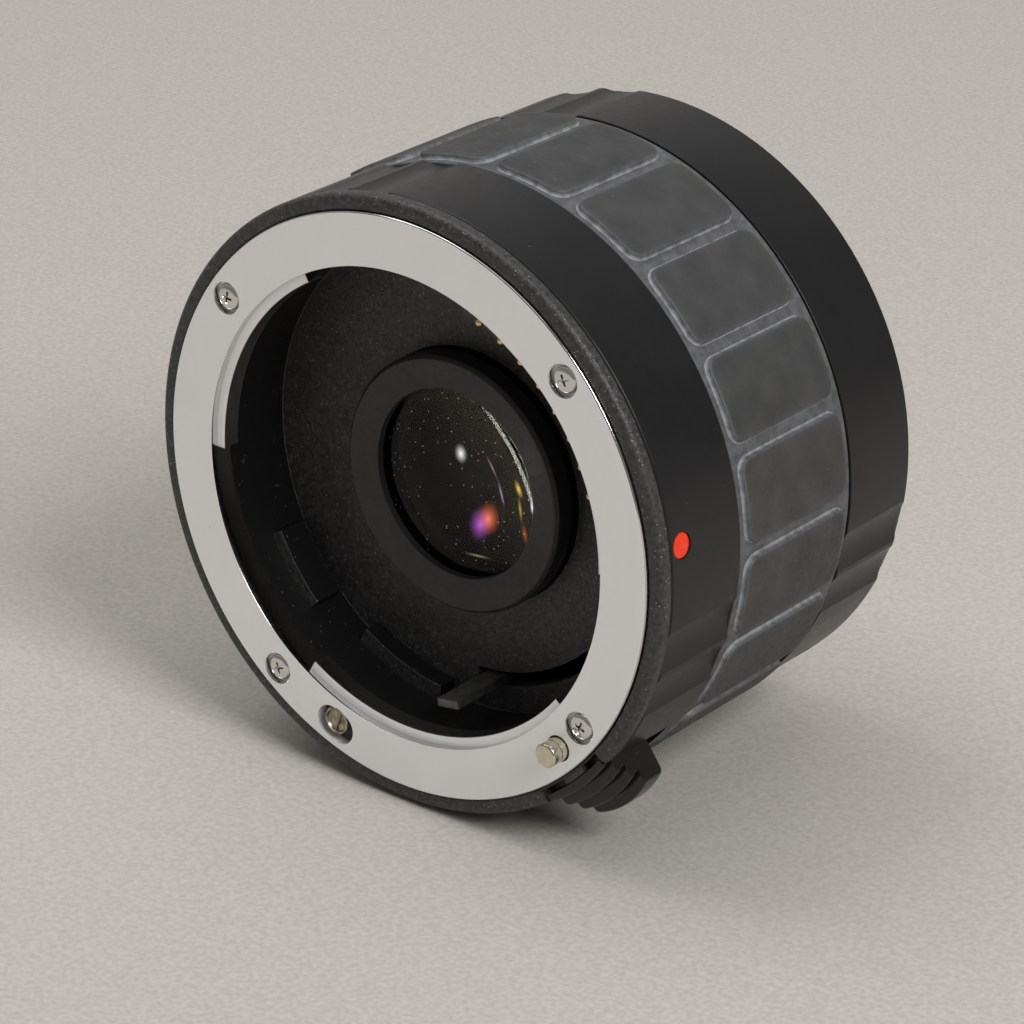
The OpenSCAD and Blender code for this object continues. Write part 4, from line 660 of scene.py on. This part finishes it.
# Lens mount: a brass ring with three lugs, turned, milled and satin chromed, held by four screws.
# The lathe's fine rings show in the chrome of its face, and the cut walls are left bright.
mount_chrome = start_finish("mount_chrome", (0.96, 0.96, 0.965), 0.36, 0.4, Anisotropic=0.25)
axis_place = step(mount_chrome, "ShaderNodeSeparateXYZ",
                  {"Vector": step(mount_chrome, "ShaderNodeTexCoord", {}).outputs["Object"]})
across_axis = step(mount_chrome, "ShaderNodeCombineXYZ",
                   {"X": axis_place.outputs["X"], "Z": axis_place.outputs["Z"]}).outputs[0]
off_axis = step(mount_chrome, "ShaderNodeVectorMath", {0: across_axis}, operation="LENGTH").outputs["Value"]
lathe_rings = step(mount_chrome, "ShaderNodeTexNoise", {"W": off_axis, "Scale": 9000.0, "Detail": 3.0},
                   noise_dimensions="1D").outputs["Fac"]
to_surface(mount_chrome, "Roughness", levels(mount_chrome, lathe_rings, 0.3, 0.7, 0.33, 0.39))
to_surface(mount_chrome, "Base Color", between(
    mount_chrome, specks(mount_chrome, 1.7, 0.06, 0.1),
    between(mount_chrome, levels(mount_chrome, grain(mount_chrome, 6, 4), 0.3, 0.7),
            (0.945, 0.945, 0.95), (0.98, 0.98, 0.985)),
    (0.55, 0.54, 0.53)))
to_surface(mount_chrome, "Tangent",
           step(mount_chrome, "ShaderNodeTangent", {}, direction_type="RADIAL", axis="Y").outputs[0])
relief(mount_chrome, lathe_rings, 0.002, 0.15)


def slab(name, length, width, corner, front, back, place=None, ease=0.0):
    """Plate with a rounded outline across the optical axis, between two depths."""
    rows = [(0, front), (0, back)] if not ease else [
        (ease, front), (0.3 * ease, front + 0.3 * ease), (0, front + ease),
        (0, back - ease), (0.3 * ease, back - 0.3 * ease), (ease, back)]
    points, faces = [], []
    for inset, depth in rows:
        c = max(corner - inset, 0.01)
        for quarter, (sx, sz) in enumerate(((1, 1), (-1, 1), (-1, -1), (1, -1))):
            for t in np.linspace(0, math.pi / 2, 13):
                angle = quarter * math.pi / 2 + t
                points.append((sx * (length / 2 - inset - c) + c * math.cos(angle), depth,
                               sz * (width / 2 - inset - c) + c * math.sin(angle)))
    for row in range(len(rows) - 1):
        for i in range(52):
            n = (i + 1) % 52
            faces.append((row * 52 + i, row * 52 + n, row * 52 + 52 + n, row * 52 + 52 + i))
    faces += [tuple(range(52)), tuple(range(len(points) - 52, len(points)))]
    return as_piece(name, points, faces, place)


lens_mount = turned("lens_bayonet", [
    (25.0, 0, 0.05), (30.31, 0, 0.06), (30.46, 0.15, 0.06), (30.46, 1.2), (25.9, 1.2), (25.9, 2.85),
    (25.15, 2.85), (25.15, 0.9), (25.0, 0.9)], 360)
carve(lens_mount, *[arc_block("lug", start, end, 24.05, 25.525, 0.92, 3.0, 0.16)
                    for start, end in ((0, 60), (120, 180.5), (239, 322))], operation="UNION")
screw_spots = (43.2, 142.7, 233.3, 323.9)
carve(lens_mount,
      *[turned("head_recess", [(0, -0.6), (1.73, -0.6), (1.73, 0), (1.66, 0.06), (1.6, 0.68), (0.85, 0.68),
                               (0.85, 1.8), (0, 1.8)], 64, spot(angle, 28)) for angle in screw_spots],
      turned("pin_hole", [(0, -0.6), (1.4, -0.6), (1.4, 0), (1.35, 0.05), (1.35, 1.8), (0, 1.8)], 64,
             spot(pin_angle, pin_circle)),
      slab("coupler_hole", 3.6, 4.8, 1.79, -0.6, 3.6, spot(251.3, 27.9)))
dress(lens_mount, mount_chrome, "barrel", "mount_chrome", "lens_mount_ring", sharp=24)
machined_chrome = start_finish("machined_chrome", (0.64, 0.64, 0.63), 0.13, 1.0)
uneven_gloss(machined_chrome, 0.4, 3, 0.09, 0.18)


def bright_walls(ring):
    """Gives a ring's cut walls the bright finish of fresh turning. Its faces and coupler hole stay satin."""
    ring.data.materials.append(machined_chrome)
    hole = spot(251.3, 27.9).translation
    for wall in ring.data.polygons:
        off_hole = math.hypot(wall.center.x - hole.x, wall.center.z - hole.z)
        wall.material_index = int(abs(wall.normal.y) < 0.85 and off_hole > 0.0027)


bright_walls(lens_mount)

# Mount screws: polished steel pan heads with a cross recess, sunk in counterbores of the rings.
# The recess tapers as the punch leaves it.
def cross_screw(name, place, spin, shank, towards_camera=False):
    """Screw whose head begins at depth zero of its place."""
    head = turned(name, [
        (0, 0.0), (0.6, 0.015), (1.0, 0.06), (1.18, 0.13), (1.3, 0.24), (1.37, 0.37), (1.4, 0.5), (1.4, 0.62),
        (0.8, 0.62), (0.8, 0.62 + shank), (0, 0.62 + shank)], 64)
    arm, reach = 0.13, 0.68
    outline = [(arm, arm), (arm, reach), (-arm, reach), (-arm, arm), (-reach, arm), (-reach, -arm), (-arm, -arm),
               (-arm, -reach), (arm, -reach), (arm, -arm), (reach, -arm), (reach, arm)]
    points = [(x * 1.25, -0.2, z * 1.12) for x, z in outline] + [(x * 0.55, 0.46, z * 0.5) for x, z in outline]
    faces = [(i, (i + 1) % 12, 12 + (i + 1) % 12, 12 + i) for i in range(12)]
    faces += [tuple(range(12)), tuple(range(12, 24))]
    carve(head, as_piece("recess", points, faces))
    turn = Matrix.Rotation(math.radians(spin), 4, "Y")
    flip = Matrix.Rotation(math.pi, 4, "X") if towards_camera else Matrix.Identity(4)
    head.data.transform(place @ flip @ turn)
    return head


def joined(name, pieces):
    """Several loose copies of a piece as one object."""
    whole = bmesh.new()
    for piece in pieces:
        whole.from_mesh(piece.data)
    mesh = bpy.data.meshes.new(name)
    whole.to_mesh(mesh)
    whole.free()
    for piece in pieces:
        bpy.data.objects.remove(piece)
    group = bpy.data.objects.new(name, mesh)
    bpy.context.scene.collection.objects.link(group)
    return group


def sunk(angle, radius, depth):
    return Matrix.Translation((0, depth / 1000, 0)) @ spot(angle, radius)


mount_screws = joined("lens_mount_screw_set", [
    cross_screw("mount_screw", sunk(angle, 28, 0.06), spin, 5.2)
    for angle, spin in zip(screw_spots, (20, 62, 38, 75))])
dress(mount_screws, screw_steel, "barrel", "screw_steel", "lens_mount_screws", sharp=28)

# Bayonet springs: strips of spring steel behind the lugs, which pull a lens up against the face.
# The clip that keeps the aperture ring on the lens barrel is of the same steel.
spring_steel = start_finish("spring_steel", (0.55, 0.55, 0.55), 0.26, 1.0)
uneven_gloss(spring_steel, 0.5, 3, 0.2, 0.36)
give_finish(spring_steel, "bayonet_springs", "aperture_clip")

# Release lever: a semi-gloss black moulding with four finger ridges, which slides in its track.
# A leg on its inside carries the lock pin through a slot in the shell.
lever_black = start_finish("lever_black", (0.008, 0.0075, 0.0068), 0.22, Specular_IOR_Level=0.5)
uneven_gloss(lever_black, 0.5, 4, 0.17, 0.27)
to_surface(lever_black, "Base Color", between(
    lever_black, specks(lever_black, 0.8, 0.09, 0.2), (0.008, 0.0075, 0.0068), (0.12, 0.115, 0.1)))
relief(lever_black, grain(lever_black, 0.3, 2), 0.012, 0.4)
lever_rows = []
for ridge in range(4):
    crest, crown, front = 32.4 + ridge * 3.65 / 3, 19 - ridge * 3, 0.6 + ridge * 1.35
    bends = np.radians(np.linspace(0, 90 if ridge == 3 else 150, 7 if ridge == 3 else 11))
    row = [(crown - 0.4 * (1 - math.sin(bend)), front + 0.4 * (1 - math.cos(bend))) for bend in bends]
    if ridge < 3:
        row += [(crown - 0.27, front + 1.1), (crown - 0.3, front + 1.35)]
    else:
        row += [(crown - 0.4 * (1 - math.cos(bend)), 7.2 + 0.4 * math.sin(bend)) for bend in bends]
    lever_rows += [(crest - crown, top, depth) for top, depth in row]
lever_low, lever_side = 31.45 * math.cos(math.radians(8.1)), 31.45 * math.sin(math.radians(8.1))


def lever_section(middle, arch, depth):
    """Outline of the lever across the barrel at one depth: side, eased edge, arched top and side."""
    def half(height):
        return lever_side - 0.7 * (height - lever_low) / (36.65 - lever_low)
    edge = middle + arch
    for _ in range(12):
        edge = middle + math.sqrt(arch * arch - half(edge) ** 2)
    ease = min(0.2, 0.4 * (edge - lever_low))
    reach = half(edge) - ease
    top = [(middle + math.sqrt(arch * arch - y * y), y) for y in np.linspace(reach, -reach, 19)]
    bend = [(edge - ease + (top[0][0] - edge + ease) * math.sin(t),
             half(edge - ease) + (reach - half(edge - ease)) * (1 - math.cos(t))) for t in np.radians((0, 30, 60))]
    right = [(lever_low, lever_side)] + bend
    left = [(x, -y) for x, y in reversed(right)]
    under = [(math.sqrt(31.45 ** 2 - y * y), y) for y in np.linspace(-lever_side, lever_side, 13)[1:-1]]
    return [(x, depth, y) for x, y in right + top + left + under]


lever_points, lever_faces = [], []
for row in lever_rows:
    lever_points.extend(lever_section(*row))
row_size = len(lever_points) // len(lever_rows)
for j in range(len(lever_rows) - 1):
    for i in range(row_size):
        n = (i + 1) % row_size
        lever_faces.append((j * row_size + i, j * row_size + n, (j + 1) * row_size + n, (j + 1) * row_size + i))
lever_faces += [tuple(range(row_size)), tuple(range(len(lever_points) - row_size, len(lever_points)))]
release_lever = as_piece("finger_lever", lever_points, lever_faces, spot(313.6, 0))
carve(release_lever, arc_block("leg", 311.7, 319.7, 26.2, 31.75, 4.2, 7.5, 0.08), operation="UNION")
carve(release_lever, turned("leg_hole", [(0, 3.6), (1.3, 3.6), (1.3, 8.1), (0, 8.1)], 48,
                            spot(pin_angle, pin_circle)))
dress(release_lever, lever_black, "release", "lever_black", "release_lever", sharp=38)

# Lock pin: turned brass with bright nickel, pressed into the lever's leg, with a fine groove.
pin_nickel = start_finish("pin_nickel", (0.72, 0.67, 0.53), 0.2, 1.0)
uneven_gloss(pin_nickel, 0.3, 3, 0.16, 0.3)
two_tone(pin_nickel, 0.8, 3, (0.66, 0.61, 0.47), (0.76, 0.72, 0.6))
relief(pin_nickel, grain(pin_nickel, 0.2, 2), 0.006, 0.3)
lock_pin = turned("lens_lock_pin", [
    (0, -2.1), (1.1, -2.1, 0.05), (1.25, -1.95, 0.06), (1.25, -0.9, 0.04), (1.1, -0.9), (1.1, -0.75),
    (1.25, -0.75, 0.04), (1.25, 7.5), (0.75, 7.5), (0.75, 14.2), (0, 14.2)], 64, spot(pin_angle, pin_circle))
dress(lock_pin, pin_nickel, "release", "pin_nickel", "lock_pin")

# Springs: bright steel wire, wound close to size. One returns the release, one presses the
# coupler's tip out, and one turns the aperture drive back.
def coil_spring(name, radius, length, curls, wire, place):
    """Wound spring about the Y axis of its place, from depth zero, with flat caps on the wire's ends."""
    rings, around = curls * 28, 10
    path = []
    for i in range(rings + 1):
        t = i / rings
        angle = 2 * math.pi * curls * t
        path.append(np.array((radius * math.cos(angle), wire + (length - 2 * wire) * t,
                              radius * math.sin(angle))))
    points, faces = [], []
    for i, centre in enumerate(path):
        along = path[min(i + 1, rings)] - path[max(i - 1, 0)]
        along /= np.linalg.norm(along)
        out = np.array((centre[0], 0, centre[2])) / radius
        out -= along * (out @ along)
        out /= np.linalg.norm(out)
        side = np.cross(along, out)
        for k in range(around):
            a = 2 * math.pi * k / around
            points.append(centre + wire * (math.cos(a) * out + math.sin(a) * side))
    for i in range(rings):
        for k in range(around):
            n = (k + 1) % around
            faces.append((i * around + k, i * around + n, (i + 1) * around + n, (i + 1) * around + k))
    faces += [tuple(range(around)), tuple(range(rings * around, (rings + 1) * around))]
    return as_piece(name, points, faces, place)


release_coil = coil_spring("release_coil", 1.25, 5.75, 6, 0.15, sunk(pin_angle, pin_circle, 7.55))
dress(release_coil, spring_steel, "barrel", "spring_steel", "release_spring", sharp=60)
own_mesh(release_coil)
coupler_coil = coil_spring("coupler_coil", 1.2, 6.6, 6, 0.15, sunk(coupler_angle, coupler_circle, 5.85))
dress(coupler_coil, spring_steel, "coupler", "spring_steel", "coupler_spring", sharp=60)
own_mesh(coupler_coil)
aperture_low, aperture_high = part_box("aperture_spring")
aperture_middle = (aperture_low + aperture_high) / 2
spring_reach = 2 * 19 * math.sin(math.radians(22.5)) - 1.3
chord = Matrix.Rotation(math.radians(-97.5), 4, "Y")
aperture_place = (Matrix.Translation(aperture_middle) @ chord @ Matrix.Rotation(math.radians(90), 4, "X")
                  @ Matrix.Translation((0, -spring_reach / 2000, 0)))
aperture_coil = coil_spring("aperture_coil", 0.8, spring_reach, 6, 0.15, aperture_place)
dress(aperture_coil, spring_steel, "barrel", "spring_steel", "aperture_spring", sharp=60)

# Focus coupler: a shaft through both housings that carries the camera's focus drive to the lens.
# Its sprung tip is a turned brass cup with a driving blade across it, worn to an olive tone.
coupler_metal = start_finish("coupler_metal", (0.36, 0.33, 0.24), 0.34, 1.0)
uneven_gloss(coupler_metal, 0.4, 4, 0.26, 0.48)
two_tone(coupler_metal, 0.7, 4, (0.22, 0.2, 0.14), (0.5, 0.46, 0.35), 0.35, 0.65)
relief(coupler_metal, grain(coupler_metal, 0.3, 3), 0.01, 0.4)
coupler_tip = turned("coupler_cup", [
    (0, 0.3), (1.15, 0.25, 0.05), (1.27, -0.05, 0.04), (1.4, -0.05, 0.05), (1.5, 0.05, 0.05), (1.5, 5.8),
    (0, 5.8)], 64, spot(coupler_angle, coupler_circle))
carve(coupler_tip,
      slab("blade", 2.3, 0.6, 0.12, 0.05, 0.9, spot(coupler_angle, coupler_circle), 0.08),
      slab("stem", 1.3, 1.3, 0.1, 5.7, 17.5, spot(coupler_angle, coupler_circle)), operation="UNION")
dress(coupler_tip, coupler_metal, "coupler_head", "coupler_metal", "coupler_tip")
give_finish(coupler_metal, "coupler_shaft")

# Aperture drive: an aluminium ring that turns on the lens barrel and two blackened steel levers
# riveted to it, one in the chamber's arc slot and one behind the camera mount.
drive_metal = start_finish("drive_metal", (0.6, 0.6, 0.58), 0.35, 1.0)
uneven_gloss(drive_metal, 0.5, 3, 0.28, 0.44)
give_finish(drive_metal, "aperture_ring")
aperture_metal = start_finish("aperture_metal", (0.1, 0.1, 0.095), 0.36, 0.7)
uneven_gloss(aperture_metal, 0.5, 3, 0.3, 0.46)
two_tone(aperture_metal, 0.9, 4, (0.07, 0.07, 0.067), (0.14, 0.138, 0.13), 0.35, 0.65)
front_lever = arc_block("lens_side_lever", 274.9, 282.1, 21.3, 22.2, 3.4, 19.0, 0.08)
carve(front_lever, arc_block("arm", 274.9, 282.1, 15.575, 22.15, 18.2, 18.98, 0.04), operation="UNION")
dress(front_lever, aperture_metal, "aperture_drive", "aperture_metal", "front_aperture_lever")
rear_lever = arc_block("camera_side_lever", 284.2, 289.8, 19.3, 20.6, 18.2, 45.8, 0.08)
carve(rear_lever, arc_block("arm", 284.2, 289.8, 15.575, 20.55, 18.22, 19.0, 0.04), operation="UNION")
dress(rear_lever, aperture_metal, "aperture_drive", "aperture_metal", "rear_aperture_lever")

# Camera mount: the male half of the same bayonet, brass turned and satin chromed, with three tabs
# on its spigot and four screws. It was not in view and follows the lens side's finish.
camera_mount = turned("camera_bayonet", [
    (22.85, 41.3), (30.0, 41.3), (30.0, 42.35, 0.06), (29.85, 42.5, 0.06), (24.05, 42.5), (24.05, 46.75, 0.08),
    (23.75, 47.05, 0.08), (22.85, 47.05, 0.08)], 320)
carve(camera_mount, *[arc_block("tab", start, end, 23.45, 24.85, 45.55, 47.05, 0.15)
                      for start, end in ((8, 64), (129, 183), (270, 304))], operation="UNION")
rear_screw_spots = (20, 110, 200, 288)
carve(camera_mount,
      *[turned("head_recess", [(0, 43.1), (1.73, 43.1), (1.73, 42.5), (1.66, 42.44), (1.6, 41.82), (0.85, 41.82),
                               (0.85, 40.7), (0, 40.7)], 64, spot(angle, 28)) for angle in rear_screw_spots],
      turned("lock_hole", [(0, 40.7), (1.3, 40.7), (1.3, 42.42), (1.38, 42.5), (1.38, 43.1), (0, 43.1)], 64,
             spot(316.5, 28)),
      turned("coupler_hole", [(0, 40.7), (1.8, 40.7), (1.8, 42.42), (1.88, 42.5), (1.88, 43.1), (0, 43.1)], 64,
             spot(coupler_angle, coupler_circle)),
      arc_block("contact_opening", 8.85, 77.95, 20.7, 23.45, 40.7, 47.7))
dress(camera_mount, mount_chrome, "barrel", "mount_chrome", "rear_mount_ring", sharp=24)
bright_walls(camera_mount)
rear_screws = joined("camera_mount_screw_set", [
    cross_screw("mount_screw", sunk(angle, 28, 42.44), spin, 2.6, True)
    for angle, spin in zip(rear_screw_spots, (15, 50, 80, 33))])
dress(rear_screws, screw_steel, "barrel", "screw_steel", "rear_mount_screws", sharp=28)

# Rear baffle: a blackened plate with a rectangular hood that keeps stray light off the film or
# sensor. It is pressed into the camera mount's spigot.
baffle_black = start_finish("baffle_black", (0.011, 0.011, 0.011), 0.75, Specular_IOR_Level=0.3)
two_tone(baffle_black, 0.8, 4, (0.008, 0.008, 0.008), (0.016, 0.016, 0.016))
relief(baffle_black, grain(baffle_black, 0.2, 3), 0.03, 0.5)
baffle = turned("light_baffle", [(0, 41.3), (22.8, 41.3), (22.8, 42.1, 0.1), (0, 42.1)], 192)
carve(baffle, slab("hood", 25, 19, 2.5, 41.4, 43.2, None, 0.15), operation="UNION")
carve(baffle, slab("window", 22, 16, 1.0, 40.5, 44.0),
      arc_block("contact_room", 8.85, 77.95, 20.65, 25, 40.7, 43.1),
      arc_block("lever_room", 282.8, 321.2, 19.0, 20.9, 40.7, 43.1))
dress(baffle, baffle_black, "barrel", "baffle_black", "rear_baffle")

# Camera side contacts: a moulded block on the rear housing with eight gold pads riveted into it.
# The pads sit a little proud of the block, where the camera's pins press on them.
rear_block = arc_block("camera_contact_block", 9.25, 77.55, 20.7, 23.4, 41.3, 45.6, 0.12)
carve(rear_block, *[turned("pad_recess", [(0, 45.3), (0.75, 45.3), (0.75, 46.2), (0, 46.2)], 40,
                           contact_spot(number)) for number in range(8)])
dress(rear_block, moulded_black, "barrel", "moulded_black", "rear_contact_block")
gold_pads = joined("camera_contact_pads", [
    turned("pad", [(0, 45.3), (0.7, 45.3), (0.7, 45.58, 0.05), (0.6, 45.64, 0.04), (0, 45.65)], 40,
           contact_spot(number)) for number in range(8)])
dress(gold_pads, contact_gold, "barrel", "contact_gold", "rear_contact_pads")
